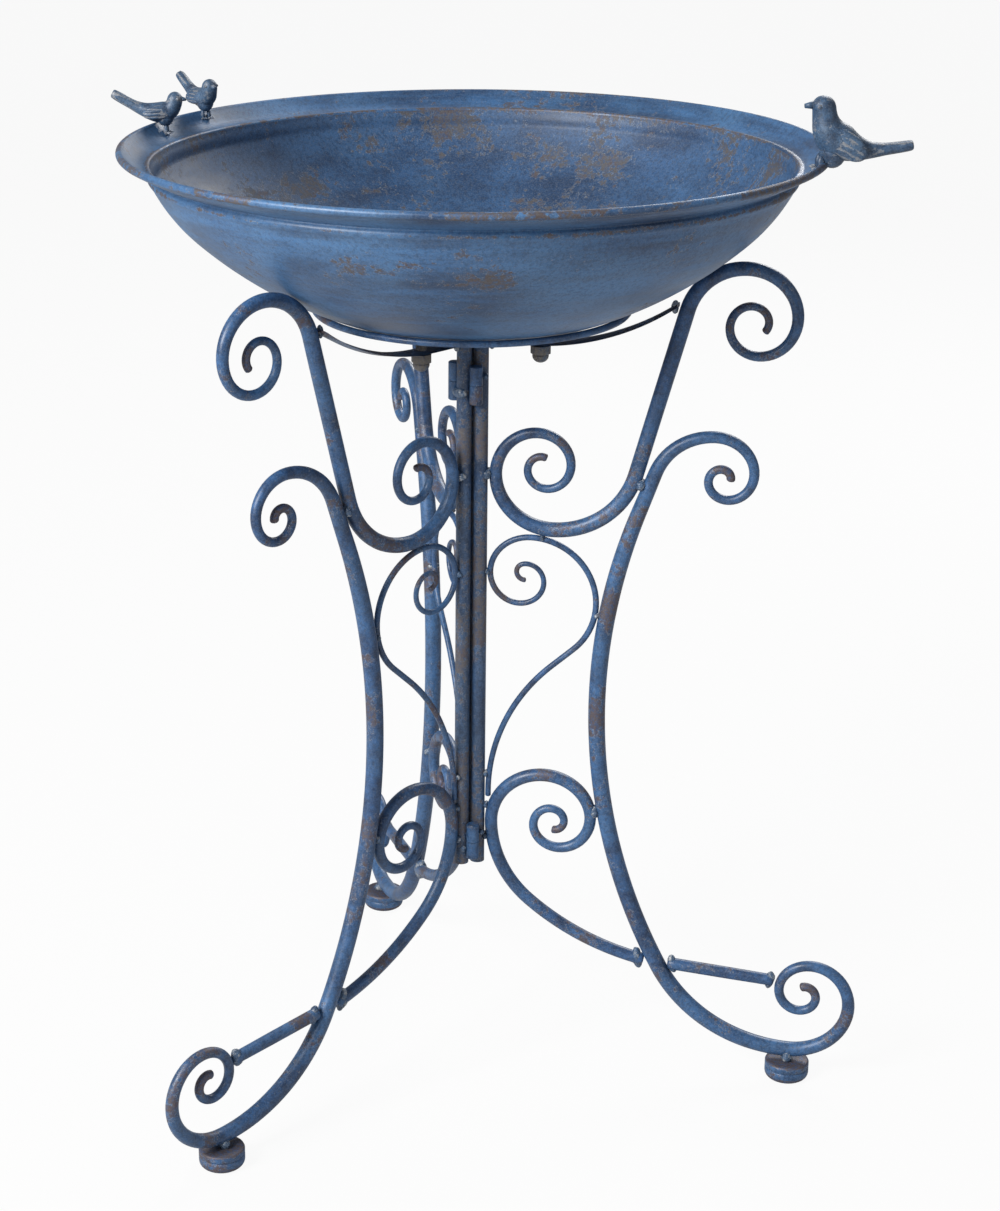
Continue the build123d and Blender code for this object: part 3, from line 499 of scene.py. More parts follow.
def forge(pieces, thickness, sides=16, step=4.0, worn_over=22.0, worn_ends=(True, True), dressed=True):
    """A bmesh of a bar in millimetres: thickness(along) is its radius at a distance from its start."""
    bm = bmesh.new()
    worn = bm.verts.layers.float.new("worn")
    total = path_length(pieces)
    radius = thickness(0) * (TIP if dressed else 1)
    edges = ring_of(bm, radius, pieces[0][:3], sides)
    for v in bm.verts:
        v[worn] = float(worn_ends[0])
    walked = 0.0

    def grow(piece, share, new_radius):
        nonlocal edges, radius
        edges, verts = push_ring(bm, edges, piece, share, new_radius / radius)
        radius = new_radius
        ends = [walked if worn_ends[0] else total, total - walked if worn_ends[1] else total]
        for v in verts:
            v[worn] = max(0.0, 1 - max(0.0, min(ends)) / worn_over)

    if dressed:
        for reach, share in DRESSED_START:
            grow((*pieces[0][:3], reach * thickness(0), 0), 1, share * thickness(0))
        first = math.radians(pieces[0][2])
        back = Vector((-math.cos(first), 0, -math.sin(first))) * 0.4 * thickness(0)
        bmesh.ops.translate(bm, vec=back, verts=bm.verts)
    for piece in pieces:
        length = piece_length(piece)
        count = max(1, math.ceil(length / step), math.ceil(abs(piece[4]) / TURN_PER_RING))
        for part in range(count):
            moved = piece_at(piece, part / count)
            walked += length / count
            grow((*moved, piece[3], piece[4]), 1 / count, thickness(walked))
    if dressed:
        heading = piece_end(pieces[-1])
        for reach, share in DRESSED_END:
            grow((*heading, reach * thickness(total), 0), 1, share * thickness(total))
    bmesh.ops.edgeloop_fill(bm, edges=edges)
    return bm


def drawn_down(total, start, middle, end, over):
    """Thickness of a bar that thins over a distance from each end."""

    def thickness(along):
        near, far = min(1, along / over), min(1, max(0.0, total - along) / over)
        ease_near, ease_far = near * near * (3 - 2 * near), far * far * (3 - 2 * far)
        return min(start + (middle - start) * ease_near, end + (middle - end) * ease_far)

    return thickness


# %% Forge every bar of the three panels
TAPERS = {
    "s_scroll": (SCROLL_BAR, 2.9, 2.9, 260.0, (True, True)),
    "leg": (LEG_BAR, 3.2, 3.4, 300.0, (True, True)),
    "curl_rod": (CURL_BAR, 3.0, 4.8, 170.0, (True, False)),
    "foot_brace": (BRACE_BAR, 4.5, 4.7, 40.0, (False, False)),
    "thin_scroll": (FILLER_BAR, 1.9, 2.2, 120.0, (True, False)),
}


def panel_pieces(name, build, material, replaced):
    """Builds one piece for each panel, turned about the stand's axis and riding on its panel."""
    made = []
    for side, azimuth in PANELS.items():
        bm = build()
        turned = AXIS @ Matrix.Rotation(math.radians(azimuth), 4, "Z") @ Matrix.Scale(MM, 4)
        bmesh.ops.transform(bm, matrix=turned, verts=bm.verts)
        piece = finish_mesh(f"{side}_{name}_forged", bm, material, f"{side}_panel")
        for node in replaced:
            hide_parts(f"{side}_{node}")
        made.append(piece)
    return made


for bar_name, (middle, start, end, over, worn_ends) in TAPERS.items():
    total = path_length(BARS[bar_name])
    thickness = drawn_down(total, start, middle, end, over)
    made = panel_pieces(
        bar_name,
        lambda: forge(BARS[bar_name], thickness, sides=20 if middle > 3 else 12, worn_ends=worn_ends),
        bar_blue, [bar_name],
    )
    print(bar_name, "faces each", len(made[0].data.polygons))

# %% [markdown]
# ## Straps, nuts and foot cups
#
# The strap is a four-sided ring pushed along its own path, widened across the panel, then bevelled so that
# its long edges catch light.
# The cap nut is a six-sided prism with its corners turned down, under a spun dome. The foot cup is one
# profile spun about its own axis, with a rolled lower edge and a groove where the cup meets its cap.

# %% Straps
strap_path = chain(5.4, 577.1, 0, [(41.6, 0), (175, 35.59)])
STRAP_RING, STRAP_WIDEN = math.sqrt(2.0), 7.0


def build_strap():
    """A four-sided bar bent up from the posts to the S scroll, widened until it is a strap."""
    bm = forge(strap_path, lambda along: STRAP_RING, sides=4, step=6.0, worn_over=25.0, dressed=False)
    bmesh.ops.transform(bm, matrix=Matrix.Diagonal((1, STRAP_WIDEN, 1, 1)), verts=bm.verts)
    long_edges = [e for e in bm.edges if len(e.link_faces) == 2 and e.calc_face_angle(0) > 1]
    bmesh.ops.bevel(bm, geom=long_edges, affect="EDGES", offset=0.6, segments=2, profile=0.5, material=-1)
    return bm


for piece in panel_pieces("strap", build_strap, bar_blue, ["strap"])[:1]:
    print("strap faces", len(piece.data.polygons))

# %% Cap nuts and foot cups
nut_low, nut_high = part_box("right_cap_nut")
cup_low, cup_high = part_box("right_foot_cup")
NUT_OUT = ((nut_low[0] + nut_high[0]) / 2 - axis_x) / MM
NUT_TOP, NUT_BOTTOM = nut_high[2] / MM, nut_low[2] / MM
CUP_OUT = ((cup_low[0] + cup_high[0]) / 2 - axis_x) / MM
CUP_RADIUS, CUP_HEIGHT = (cup_high[1] - cup_low[1]) / 2 / MM, cup_high[2] / MM


def full_spin(bm, geometry, steps, centre_u=0.0):
    """Spins a section once about an upright line, and joins it where it closes."""
    bmesh.ops.spin(
        bm, geom=geometry, cent=(centre_u, 0, 0), axis=(0, 0, 1), angle=math.tau, steps=steps, use_merge=True
    )


def spun_profile(bm, points, centre_u, steps=48):
    """A profile of (radius, height) points spun about an upright line at centre_u."""
    verts = [bm.verts.new((centre_u + r, 0, w)) for r, w in points]
    edges = [bm.edges.new(pair) for pair in zip(verts, verts[1:])]
    full_spin(bm, verts + edges, steps, centre_u)
    bmesh.ops.remove_doubles(bm, verts=bm.verts, dist=1e-4)


def build_nut():
    """A hexagon with turned corners and a dome under it."""
    bm = bmesh.new()
    bm.verts.layers.float.new("worn")
    flats, hex_height, dome_radius, dome_height = 13.0, 6.5, 6.0, 5.0
    corner = flats / math.sqrt(3)
    place = Matrix.Translation((NUT_OUT, 0, NUT_TOP - hex_height / 2))
    bmesh.ops.create_cone(
        bm, cap_ends=True, segments=6, radius1=corner, radius2=corner, depth=hex_height,
        matrix=place @ Matrix.Rotation(math.radians(30), 4, "Z"),
    )
    bmesh.ops.bevel(bm, geom=list(bm.edges), affect="EDGES", offset=0.5, segments=3, profile=0.5, material=-1)
    dome = [(0, NUT_BOTTOM)]
    for turn in (0.3, 0.6, 0.9, 1.2, 1.45, math.pi / 2):
        dome.append((dome_radius * math.sin(turn), NUT_BOTTOM + dome_height * (1 - math.cos(turn))))
    dome += [(dome_radius, NUT_TOP - hex_height + 0.2), (0, NUT_TOP - hex_height + 0.2)]
    spun_profile(bm, dome, NUT_OUT, 24)
    washer = [(0, NUT_TOP), (7.0, NUT_TOP), (7.3, NUT_TOP - 0.4), (7.0, NUT_TOP - 0.9), (0, NUT_TOP - 0.9)]
    spun_profile(bm, washer, NUT_OUT, 32)
    return bm


def build_cup():
    """The foot: a spun cup with a rolled lower edge, a shallow groove and a slightly domed top."""
    bm = bmesh.new()
    worn = bm.verts.layers.float.new("worn")
    edge = 5.0
    profile = [(0, 0), (CUP_RADIUS - edge, 0)]
    for turn in (0.25, 0.5, 0.75, 1.0, 1.25, 1.5):
        profile.append((CUP_RADIUS - edge + edge * math.sin(turn), edge * (1 - math.cos(turn))))
    groove = [(CUP_RADIUS, 8.6), (CUP_RADIUS - 0.5, 9.0), (CUP_RADIUS - 0.5, 9.5), (CUP_RADIUS, 9.9)]
    profile += [(CUP_RADIUS, 6.5), *groove, (CUP_RADIUS, CUP_HEIGHT - 1.6)]
    profile += [(CUP_RADIUS - 0.5, CUP_HEIGHT - 0.6), (CUP_RADIUS - 1.6, CUP_HEIGHT - 0.1)]
    profile += [(CUP_RADIUS - 4, CUP_HEIGHT), (0, CUP_HEIGHT)]
    spun_profile(bm, profile, CUP_OUT)
    for v in bm.verts:
        v[worn] = 0.75 if v.co.z < 4 or v.co.z > CUP_HEIGHT - 1 else 0.1
    return bm


panel_pieces("cap_nut", build_nut, nut_zinc, ["cap_nut"])
panel_pieces("foot_cup", build_cup, bar_blue, ["foot_cup"])
print("nuts at", round(NUT_OUT, 1), "mm out, cups", round(CUP_RADIUS, 1), "mm in radius")

# %% [markdown]
# ## Posts, studs and hinges
#
# These are plain turned bar, and the model's own solids have the right shape, so they stay and only take a
# finish. The posts are rubbed back the most, because they rub on each other as the stand folds.

# %% Finishes on the model's own pieces
for node_name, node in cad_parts.items():
    if node_name.endswith("_post"):
        finish = post_grey
    elif node_name.endswith("_stud"):
        finish = nut_zinc
    elif "knuckle" in node_name:
        finish = bar_blue
    else:
        finish = weld_silver
    for index in range(max(1, len(node.material_slots))):
        if node.material_slots:
            node.material_slots[index].material = finish
        else:
            node.data.materials.append(finish)
STAYING = ("_post", "_stud", "hinge_pin", "knuckle")
print("model pieces that stay", sum(any(word in name for word in STAYING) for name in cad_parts))

# %% [markdown]
# ## Weld beads
#
# The model marks each weld with small balls in the grooves between two bars. A real weld is one lumpy puddle
# that wets both bars, so the balls on the two sides of a joint are swapped for one ellipsoid that reaches
# through it, pushed about by noise. The balls' own mesh tells where they are: its loose shells are found one
# by one, and each gives a centre and a radius.


# %% Find the model's balls, and pair them
# Balls nearer than this, and of one size, belong to the same joint
JOINT_SPAN = 0.02


def ball_places(node_name):
    """Centre and radius of each separate ball in a model node."""
    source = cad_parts[node_name].data
    bm = bmesh.new()
    bm.from_mesh(source)
    bmesh.ops.remove_doubles(bm, verts=bm.verts, dist=1e-5)
    left, places = set(bm.verts), []
    while left:
        shell, edge_of_search = set(), [left.pop()]
        while edge_of_search:
            vert = edge_of_search.pop()
            shell.add(vert)
            for link in vert.link_edges:
                other = link.other_vert(vert)
                if other in left:
                    left.remove(other)
                    edge_of_search.append(other)
        low = Vector([min(v.co[i] for v in shell) for i in range(3)])
        high = Vector([max(v.co[i] for v in shell) for i in range(3)])
        places.append(((low + high) / 2, (high - low).length / math.sqrt(12)))
    bm.free()
    return sorted(places, key=lambda place: tuple(round(c, 5) for c in place[0]))


def paired(places):
    """Balls on the two sides of one joint taken together: middle, half the line between them, and radius."""
    left, joints = list(places), []
    while left:
        centre, radius = left.pop(0)
        partner = min(left, key=lambda other: (other[0] - centre).length, default=None)
        if partner and (partner[0] - centre).length < JOINT_SPAN and abs(partner[1] - radius) < 1e-4:
            left.remove(partner)
            joints.append(((centre + partner[0]) / 2, (centre - partner[0]) / 2, radius))
        else:
            joints.append((centre, Vector((0, 0, radius)), radius))
    return joints


# %% Lumpy welds in their places
def build_beads(places, seed):
    """One mesh of lumpy welds, each wetting both sides of its joint."""
    random.seed(seed)
    bm = bmesh.new()
    worn = bm.verts.layers.float.new("worn")
    for centre, half, radius in paired(places):
        thick = max(0.9 * radius, 0.52 * half.length) * random.uniform(0.9, 1.1)
        size = Matrix.Diagonal((thick, thick * random.uniform(0.95, 1.2), max(half.length, thick), 1))
        turned = half.to_track_quat("Z", "Y").to_matrix().to_4x4()
        made = bmesh.ops.create_icosphere(
            bm, subdivisions=4, radius=1, matrix=Matrix.Translation(centre) @ turned @ size
        )["verts"]
        for v in made:
            lump = noise.noise((v.co + centre * 7) * 230) * 0.3 + noise.noise(v.co * 800) * 0.14
            v.co += (v.co - centre).normalized() * radius * lump
            v[worn] = min(1.0, max(0.0, 0.2 + 2.4 * lump))
    return bm


for index, side in enumerate(PANELS):
    for group in ("welds", "hinge_welds"):
        places = ball_places(f"{side}_{group}")
        bm = build_beads(places, 11 + index)
        beads = finish_mesh(f"{side}_{group}_beads", bm, weld_silver, f"{side}_panel")
        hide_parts(f"{side}_{group}")
        print(beads.name, len(places), "beads")

# %% [markdown]
# ## The bowl
#
# The bowl is one sheet, pressed over a former and finished with a flared rim whose edge is rolled. Half of
# its section is drawn once: a vertex spun about each arc's centre gives the dish and the side, and a few
# more vertices give the shoulder, the groove, the flange and the roll. One full spin about the stand's axis
# makes the bowl. Its wall is real: the section runs up the outside and back down the inside.

# %% Section and spin
DISH_BEND, DISH_TURN, SIDE_BEND, SIDE_TURN, WALL = 298.0, 41.95, 122.0, 21.2, 2.0
RIM_RADIUS = (bowl_high[0] - bowl_low[0]) / 2 / MM
BOWL_BASE, RIM_TOP = bowl_low[2] / MM, bowl_high[2] / MM
ROLL, AROUND = 2.7, 144
# Rubbed places on the side: azimuth, drop below the shoulder, and how wide and tall
RUBBED = ((-97, 22, 9, 16), (-56, 20, 11, 14), (-74, 30, 8, 8))


def spin_point(bm, vert, centre, turn, steps):
    """Spins the section's last vertex about a centre; returns the new last vertex."""
    grown = bmesh.ops.spin(
        bm, geom=[vert], cent=centre, axis=(0, -1, 0), angle=math.radians(turn), steps=steps, use_merge=False
    )["geom_last"]
    return next(item for item in grown if isinstance(item, bmesh.types.BMVert))


def join_points(bm, vert, points):
    """Carries the section on through straight points; returns the last vertex."""
    for r, w in points:
        new = bm.verts.new((r, 0, w))
        bm.edges.new((vert, new))
        vert = new
    return vert


def arc_points(centre_r, centre_w, radius, start, turn, steps):
    """Points of a small round detail."""
    angles = [math.radians(start + turn * step / steps) for step in range(steps + 1)]
    return [(centre_r + radius * math.cos(a), centre_w + radius * math.sin(a)) for a in angles]


def build_bowl():
    """The bowl's sheet, in millimetres about the stand's axis."""
    bm = bmesh.new()
    worn = bm.verts.layers.float.new("worn")
    side_r = (DISH_BEND - SIDE_BEND) * math.sin(math.radians(DISH_TURN))
    side_w = BOWL_BASE + DISH_BEND - (DISH_BEND - SIDE_BEND) * math.cos(math.radians(DISH_TURN))
    outer = bm.verts.new((0, 0, BOWL_BASE))
    last = spin_point(bm, outer, (0, 0, BOWL_BASE + DISH_BEND), DISH_TURN, 30)
    last = spin_point(bm, last, (side_r, 0, side_w), SIDE_TURN, 14)
    body_r, body_w = last.co.x, last.co.z
    roll_r, roll_w = RIM_RADIUS - ROLL, RIM_TOP - ROLL
    shoulder = arc_points(body_r - 1.4, body_w + 4.4, 4.0, -52, 106, 8)
    flange = [
        (body_r + 0.9, body_w + 8.6), (body_r + 3.5, body_w + 9.6), (body_r + 10, body_w + 12.8),
        (body_r + 17.0, body_w + 16.2), (roll_r - 1.6, roll_w - 3.4), (roll_r - 0.9, roll_w - ROLL + 0.3),
    ]
    roll = arc_points(roll_r, roll_w, ROLL, -95, 250, 18)
    top = [(roll_r - 3.0, roll_w + 0.7), (body_r + 12, body_w + 15.6), (body_r + 5.4, body_w + 12.2)]
    bead = arc_points(body_r + 2.2, body_w + 11.0, 1.7, 35, 150, 7)
    inside = [(body_r - 0.6, body_w + 7.4), (body_r - WALL - 0.4, body_w + 3)]
    last = join_points(bm, last, shoulder + flange + roll + top + bead + inside)
    inner_side, turn = SIDE_BEND - WALL, math.radians(DISH_TURN + SIDE_TURN)
    inner_end = (side_r + inner_side * math.sin(turn), side_w - inner_side * math.cos(turn))
    last = join_points(bm, last, [inner_end])
    last = spin_point(bm, last, (side_r, 0, side_w), -SIDE_TURN, 14)
    spin_point(bm, last, (0, 0, BOWL_BASE + DISH_BEND), -DISH_TURN, 30)
    full_spin(bm, list(bm.verts) + list(bm.edges), AROUND)
    bmesh.ops.remove_doubles(bm, verts=bm.verts, dist=1e-3)
    bmesh.ops.recalc_face_normals(bm, faces=bm.faces)
    wear_bowl(bm, worn, body_r, body_w)
    return bm


# %% Where the bowl's coat is worn, where its bottom is steel-coloured, and which faces are its inside
def wear_bowl(bm, worn, body_r, body_w):
    """Marks the roll, bead, shoulder and rubbed places as worn, pulls the bottom's outside towards the steel
    colour through the same value, and marks the inside as the second finish.
    """
    roll_r = RIM_RADIUS - ROLL
    for v in bm.verts:
        out = math.hypot(v.co.x, v.co.y)
        near_roll = max(0.0, 1 - abs(out - roll_r - 1.5) / 4) if v.co.z > body_w + 14 else 0.0
        near_bead = max(0.0, 1 - math.hypot(out - body_r - 2, v.co.z - body_w - 12) / 3)
        near_shoulder = max(0.0, 1 - math.hypot(out - body_r - 2.6, v.co.z - body_w - 4.4) / 3) * 0.6
        outside = math.hypot(out, BOWL_BASE + DISH_BEND - v.co.z) > DISH_BEND - WALL / 2
        # The outside of the bottom, inside 114 mm, is pulled towards the steel colour through the worn value
        bottom_disc = min(0.8, max(0.0, (114 - out) / 10)) if outside else 0.0
        rubbed = max(
            0.5 * math.exp(-(((math.degrees(math.atan2(v.co.y, v.co.x)) - azimuth) / wide) ** 2)
                           - ((v.co.z - body_w + drop) / tall) ** 2)
            for azimuth, drop, wide, tall in RUBBED
        )
        v[worn] = min(1.0, max(near_roll * 0.55, near_bead * 0.8, near_shoulder, bottom_disc, rubbed))
    for face in bm.faces:
        middle = face.calc_center_median()
        out = math.hypot(middle.x, middle.y)
        upward = face.normal.z > 0 and out < body_r + 1
        inward = upward or face.normal.x * middle.x + face.normal.y * middle.y < 0
        face.material_index = 1 if inward and middle.z < body_w + 13 and out < body_r + 0.2 else 0


bm = build_bowl()
bmesh.ops.transform(bm, matrix=AXIS @ Matrix.Scale(MM, 4), verts=bm.verts)
bowl = finish_mesh("bowl_sheet", bm, [bowl_outside, bowl_inside], "bowl")
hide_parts("bowl")
print("bowl faces", len(bowl.data.polygons))

# %% The thin ring under the bowl
ring_low, ring_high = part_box("bowl_ring")
ring_bar = (ring_high[2] - ring_low[2]) / 2
ring_out = (ring_high[0] - ring_low[0]) / 2 - ring_bar
bm = bmesh.new()
bm.verts.layers.float.new("worn")
ring_start = Matrix.Translation((ring_out, 0, ring_low[2] + ring_bar))
bmesh.ops.create_circle(
    bm, cap_ends=False, segments=12, radius=ring_bar,
    matrix=ring_start @ Matrix.Rotation(math.radians(90), 4, "X"),
)
full_spin(bm, list(bm.verts) + list(bm.edges), AROUND)
bmesh.ops.transform(bm, matrix=AXIS, verts=bm.verts)
ring = finish_mesh("bowl_ring_bar", bm, bar_blue, "bowl")
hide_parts("bowl_ring")
print("ring", round(ring_out / MM, 1), "mm out")

# %% [markdown]
# ## The birds
#
# Each cast bird is one ring carried through a few oval sections, from the tail's round end over the back to
# the crown, on a smooth curve between them. The tail gets raised ribs, each wing is a flattened ball whose
# feathers are ridges, and a patch of small scales covers the shoulder. Eyes, beak and feet are set in last.
# Ridges and eyes are marked as worn, which is where the paint is rubbed to a pale grey.

# %% Sections of the two bird shapes: forward, up, heading, half height, half width
UPRIGHT = (
    (-63.4, 17.0, -8, 1.2, 1.6), (-62.6, 16.9, -8, 3.2, 4.4), (-56, 15.8, -8, 3.7, 5.0),
    (-44, 14.2, -5, 4.2, 5.4), (-34, 13.6, 2, 6.0, 7.2), (-25, 15.0, 12, 9.0, 10.0),
    (-17, 17.8, 26, 11.8, 12.2), (-10, 21.5, 42, 12.8, 12.4), (-5.6, 27.5, 62, 11.0, 11.2),
    (-3.4, 34, 80, 9.0, 9.2), (-2.4, 39.5, 88, 8.2, 8.3), (-1.9, 43.5, 92, 8.1, 8.1),
    (-1.9, 46.6, 92, 6.8, 6.8), (-1.9, 49.0, 92, 4.2, 4.2), (-1.9, 49.9, 92, 1.2, 1.2),
)
PERT = (
    (-42.2, 29.4, -30, 1.0, 1.2), (-41.4, 28.9, -30, 3.0, 3.4), (-36, 25.8, -30, 3.5, 3.9),
    (-28, 21.4, -28, 3.6, 4.2), (-20, 17.8, -18, 4.8, 5.2), (-12, 15.8, -4, 6.8, 6.8),
    (-5, 15.8, 12, 7.6, 7.6), (0.4, 18.0, 38, 6.8, 7.1), (2.8, 21.4, 64, 6.0, 6.2),
    (3.8, 24.8, 84, 5.7, 5.9), (4.0, 27.6, 90, 5.0, 5.2), (4.0, 29.8, 90, 3.0, 3.2),
    (4.0, 30.6, 90, 0.8, 0.8),
)
# %% The three birds
# Sections, tail end, wing (forward, up, tilt, length, height, out), scale, eye (forward, up, out), beak
# (forward, up, length, radius), foot (forward, out) and breast (forward, up, sizes)
LARGE_BIRD = (
    UPRIGHT, -34.0, (-17, 18.5, 33, 15.5, 8.6, 10.2), 1.0,
    (1.6, 43.4, 7.3), (4.0, 43.4, 7.2, 3.1), (-1.0, 5.0), (-9.5, 12.6, 9.4, 9.7, 11.4),
)
SMALL_BIRD = (
    PERT, -21.0, (-8, 16.2, 6, 11.5, 5.2, 5.9), 0.66,
    (6.2, 25.8, 5.0), (7.4, 25.4, 5.0, 2.2), (-3.0, 2.6), (-3.5, 13.0, 6.6, 6.4, 7.4),
)
# Each bird's perch (azimuth, out, facing) and its shape
BIRDS = {
    "right_bird": ((-5.8, 243.0, 191.0), LARGE_BIRD),
    "left_bird": ((170.6, 235.8, 7.6), SMALL_BIRD),
    "rear_bird": ((156.8, 239.5, -44.4), SMALL_BIRD),
}
# How far the feet press into the rim's slope, in millimetres
SETTLE = 1.8


# %% The body: a ring carried through its sections
def smooth_sections(sections, parts=3):
    """Sections on a smooth curve through the given ones."""
    padded = [sections[0], *sections, sections[-1]]
    smooth = []
    for before, near, far, after in zip(padded, padded[1:], padded[2:], padded[3:]):
        for part in range(parts):
            t = part / parts
            smooth.append([
                b + 0.5 * t * (c - a + t * (2 * a - 5 * b + 4 * c - d + t * (3 * (b - c) + d - a)))
                for a, b, c, d in zip(before, near, far, after)
            ])
    return [*smooth, sections[-1]]


def section_place(section):
    """The matrix that turns a unit ring into a section."""
    forward, up, heading, half_height, half_width = section
    tilt = Matrix.Rotation(math.radians(-heading), 4, "Y")
    return Matrix.Translation((forward, 0, up)) @ tilt @ Matrix.Diagonal((1, half_width, half_height, 1))


def carry_ring(bm, sections, sides=32):
    """A capped ring extruded from section to section."""
    now = section_place(sections[0])
    upright = Matrix.Rotation(math.radians(90), 4, "Y")
    bmesh.ops.create_circle(bm, cap_ends=True, segments=sides, radius=1, matrix=now @ upright)
    edges = list(bm.edges)
    for section in sections[1:]:
        edges, verts = grown_ring(bmesh.ops.extrude_edge_only(bm, edges=edges)["geom"])
        after = section_place(section)
        bmesh.ops.transform(bm, matrix=after @ now.inverted(), verts=verts)
        now = after
    bmesh.ops.edgeloop_fill(bm, edges=edges)


# %% Tail ribs, wings and the small parts
def rib_tail(bm, worn, tail_end):
    """Raises ribs along the tail behind a place, and marks them as worn."""
    for v in bm.verts:
        fade = min(1.0, max(0.0, (tail_end - v.co.x) / 6))
        ridge = max(0.0, math.cos(v.co.y * 2.1)) ** 2
        v.co.z += 0.35 * fade * (ridge - 0.5)
        v[worn] = 0.9 * fade * ridge


def add_wing(bm, worn, wing, side):
    """A flattened ball with feather ridges along its rear and small scales at its shoulder."""
    forward, up, tilt, length, height, out = wing
    made = bmesh.ops.create_uvsphere(bm, u_segments=48, v_segments=28, radius=1)["verts"]
    for v in made:
        along, across = v.co.x, v.co.z
        if along < 0.25:
            ridge = abs(math.sin(across * 6.4 + along * 1.1))
        else:
            row = math.floor(along * 13 / math.pi)
            ridge = abs(math.sin(along * 13) * math.sin(across * 9 + row * math.pi / 2))
        v.co.y *= 1 + 0.3 * (ridge - 0.5)
        v[worn] = (0.95 if along < 0.25 else 0.35) * (1 - ridge) ** 2
    turned = Matrix.Rotation(math.radians(-tilt), 4, "Y") @ Matrix.Rotation(math.radians(side * -7), 4, "Z")
    place = Matrix.Translation((forward, side * out, up)) @ turned @ Matrix.Diagonal((length, 3.0, height, 1))
    bmesh.ops.transform(bm, matrix=place, verts=made)


def add_ball(bm, worn, place, size, worn_share, turn=0.0):
    """A squashed ball."""
    matrix = Matrix.Translation(place) @ Matrix.Rotation(turn, 4, "Z") @ Matrix.Diagonal((*size, 1))
    for v in bmesh.ops.create_icosphere(bm, subdivisions=3, radius=1, matrix=matrix)["verts"]:
        v[worn] = worn_share


def build_bird(sections, tail_end, wing, share, eye, beak, foot, breast):
    """One bird facing +X over its perch, in millimetres."""
    bm = bmesh.new()
    worn = bm.verts.layers.float.new("worn")
    carry_ring(bm, smooth_sections(sections))
    rib_tail(bm, worn, tail_end)
    beak_forward, beak_up, beak_length, beak_radius = beak
    beak_middle = Matrix.Translation((beak_forward + beak_length / 2, 0, beak_up))
    bmesh.ops.create_cone(
        bm, cap_ends=True, segments=16, radius1=beak_radius, radius2=1.5 * share, depth=beak_length,
        matrix=beak_middle @ Matrix.Rotation(math.radians(96), 4, "Y"),
    )
    add_ball(bm, worn, (breast[0], 0, breast[1]), breast[2:], 0.0)
    for side in (-1, 1):
        add_wing(bm, worn, wing, side)
        eye_place = (eye[0], side * eye[2], eye[1])
        add_ball(bm, worn, eye_place, (2.0 * share, 0.8 * share, 1.5 * share), 1.0, side * 0.25)
        add_ball(bm, worn, (eye[0], side * (eye[2] + 0.5 * share), eye[1]), (0.8 * share,) * 3, 0.0)
        shank = (2.6 * share, 2.4 * share, 6.0 * share)
        add_ball(bm, worn, (foot[0], side * foot[1], 4.6 * share), shank, 0.2)
        for toe in (-26, 6, 38):
            turn, reach = math.radians(toe) * side, 3.4 * share
            forward, out = foot[0] + reach * math.cos(turn), side * foot[1] + reach * math.sin(turn)
            toe_size = (3.0 * share, 1.1 * share, 1.2 * share)
            add_ball(bm, worn, (forward, out, 1.5 * share), toe_size, 0.5, turn)
    return bm


# %% Perch the three birds on the rim
for bird_name, ((azimuth, out, facing), shape) in BIRDS.items():
    bm = build_bird(*shape)
    rest_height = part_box(bird_name)[0][2] - SETTLE * MM
    perch = Matrix.Rotation(math.radians(azimuth), 4, "Z") @ Matrix.Translation((out * MM, 0, rest_height))
    turned = perch @ Matrix.Rotation(math.radians(facing - azimuth), 4, "Z") @ Matrix.Scale(MM, 4)
    bmesh.ops.transform(bm, matrix=AXIS @ turned, verts=bm.verts)
    perched = finish_mesh(f"{bird_name}_cast", bm, bird_blue, "bowl")
    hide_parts(bird_name)
    tops = (max(v.co.z for v in perched.data.vertices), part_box(bird_name)[1][2])
    print(bird_name, len(perched.data.polygons), "faces, tops mm", [round(top / MM, 1) for top in tops])

# %% [markdown]
# ## Floor, light and camera
#
# A pale floor and a pale surround keep the attention on the metal. They glow a little, but only where the
# camera sees them directly: Is Camera Ray keeps that glow off the metal, which stays lit by the lamps. The
# main lamp stands high at the front left and gives the long soft highlights on the bars, a faint one at the
# right opens the shadows, and one behind draws thin bright lines along the edges. The camera looks down
# through a long lens from a little above the rim.

# %% Floor and surround
FLOOR_GLOW, LIGHT_ON_METAL, EXTRA_TO_CAMERA = 0.93, 0.28, 0.72
bm = bmesh.new()
bmesh.ops.create_grid(bm, x_segments=1, y_segments=1, size=12.0)
floor_mesh = bpy.data.meshes.new("floor")
bm.to_mesh(floor_mesh)
bm.free()
floor = bpy.data.objects.new("floor", floor_mesh)
bpy.context.scene.collection.objects.link(floor)
floor_paint = bpy.data.materials.new("floor_paint")
floor_paint.use_nodes = True
floor_tree = floor_paint.node_tree
matt = floor_tree.nodes["Principled BSDF"]
matt.inputs["Base Color"].default_value = (0.55, 0.55, 0.55, 1)
matt.inputs["Roughness"].default_value = 0.95
matt.inputs["Specular IOR Level"].default_value = 0.0
glow = place_node(floor_tree, "Emission")
glow.inputs["Strength"].default_value = 1.0
seen = place_node(floor_tree, "LightPath").outputs["Is Camera Ray"]
mixed = place_node(floor_tree, "MixShader")
glow_share = maths(floor_tree, "MULTIPLY", seen, FLOOR_GLOW)
feed(floor_tree, mixed, i0=glow_share, i1=matt.outputs[0], i2=glow.outputs[0])
feed(floor_tree, floor_tree.nodes["Material Output"], Surface=mixed.outputs[0])
floor_mesh.materials.append(floor_paint)

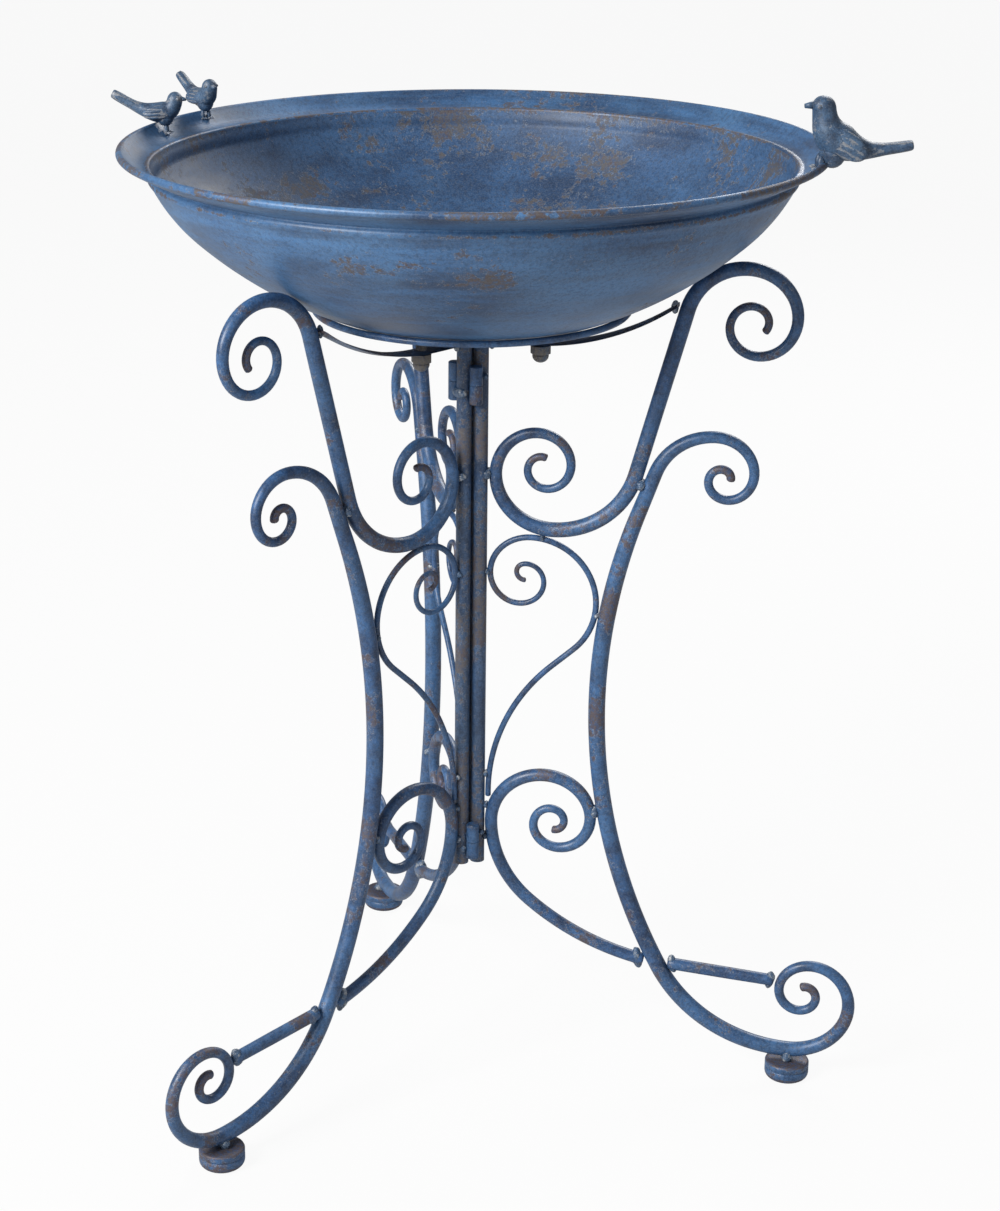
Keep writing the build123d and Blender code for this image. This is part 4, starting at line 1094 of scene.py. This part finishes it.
world = bpy.data.worlds.new("studio")
world.use_nodes = True
surround = world.node_tree.nodes["Background"]
surround.inputs["Color"].default_value = (0.96, 0.98, 1.0, 1)
straight_on = place_node(world.node_tree, "LightPath").outputs["Is Camera Ray"]
strength = maths(world.node_tree, "MULTIPLY_ADD", straight_on, EXTRA_TO_CAMERA)
strength.node.inputs[2].default_value = LIGHT_ON_METAL
feed(world.node_tree, surround, Strength=strength)
bpy.context.scene.world = world
bpy.context.scene.view_settings.view_transform = "Standard"
print("floor and surround", floor.name, world.name)

# %% Lamps
TARGET = Vector((axis_x, axis_y, 0.45))


def soft_lamp(name, place, width, power, colour=(1, 1, 1)):
    """A square area lamp aimed at the middle of the stand."""
    data = bpy.data.lights.new(name, "AREA")
    data.shape, data.size, data.energy, data.color = "SQUARE", width, power, colour
    lamp = bpy.data.objects.new(name, data)
    lamp.location = place
    lamp.rotation_euler = (TARGET - Vector(place)).to_track_quat("-Z", "Y").to_euler()
    bpy.context.scene.collection.objects.link(lamp)


soft_lamp("key", (-1.5, -2.0, 1.9), 1.1, 118.0, (1.0, 0.985, 0.96))
soft_lamp("fill", (2.2, -1.2, 1.2), 1.4, 6.0, (0.95, 0.975, 1.0))
soft_lamp("back", (0.6, 2.2, 1.9), 1.2, 40.0)
print("lamps", [lamp.name for lamp in bpy.data.lights])

# %% Camera
# Where it stands, how far it looks down and how far it is turned, in degrees
CAMERA_PLACE, CAMERA_DOWN, CAMERA_TURN = (axis_x + 0.3179, axis_y - 1.7629, 1.026), 20.31, 11.4
camera_data = bpy.data.cameras.new("camera")
camera_data.sensor_fit, camera_data.sensor_width, camera_data.lens = "HORIZONTAL", 36.0, 91.5
camera_data.shift_x, camera_data.shift_y = 0.0794, 0.0118
camera_data.clip_end = 60.0
camera = bpy.data.objects.new("camera", camera_data)
camera.location = CAMERA_PLACE
camera.rotation_euler = (math.radians(90 - CAMERA_DOWN), 0.0, math.radians(CAMERA_TURN))
bpy.context.scene.collection.objects.link(camera)
bpy.context.scene.camera = camera
print("camera lens mm", camera_data.lens, "place", [round(v, 3) for v in camera.location])
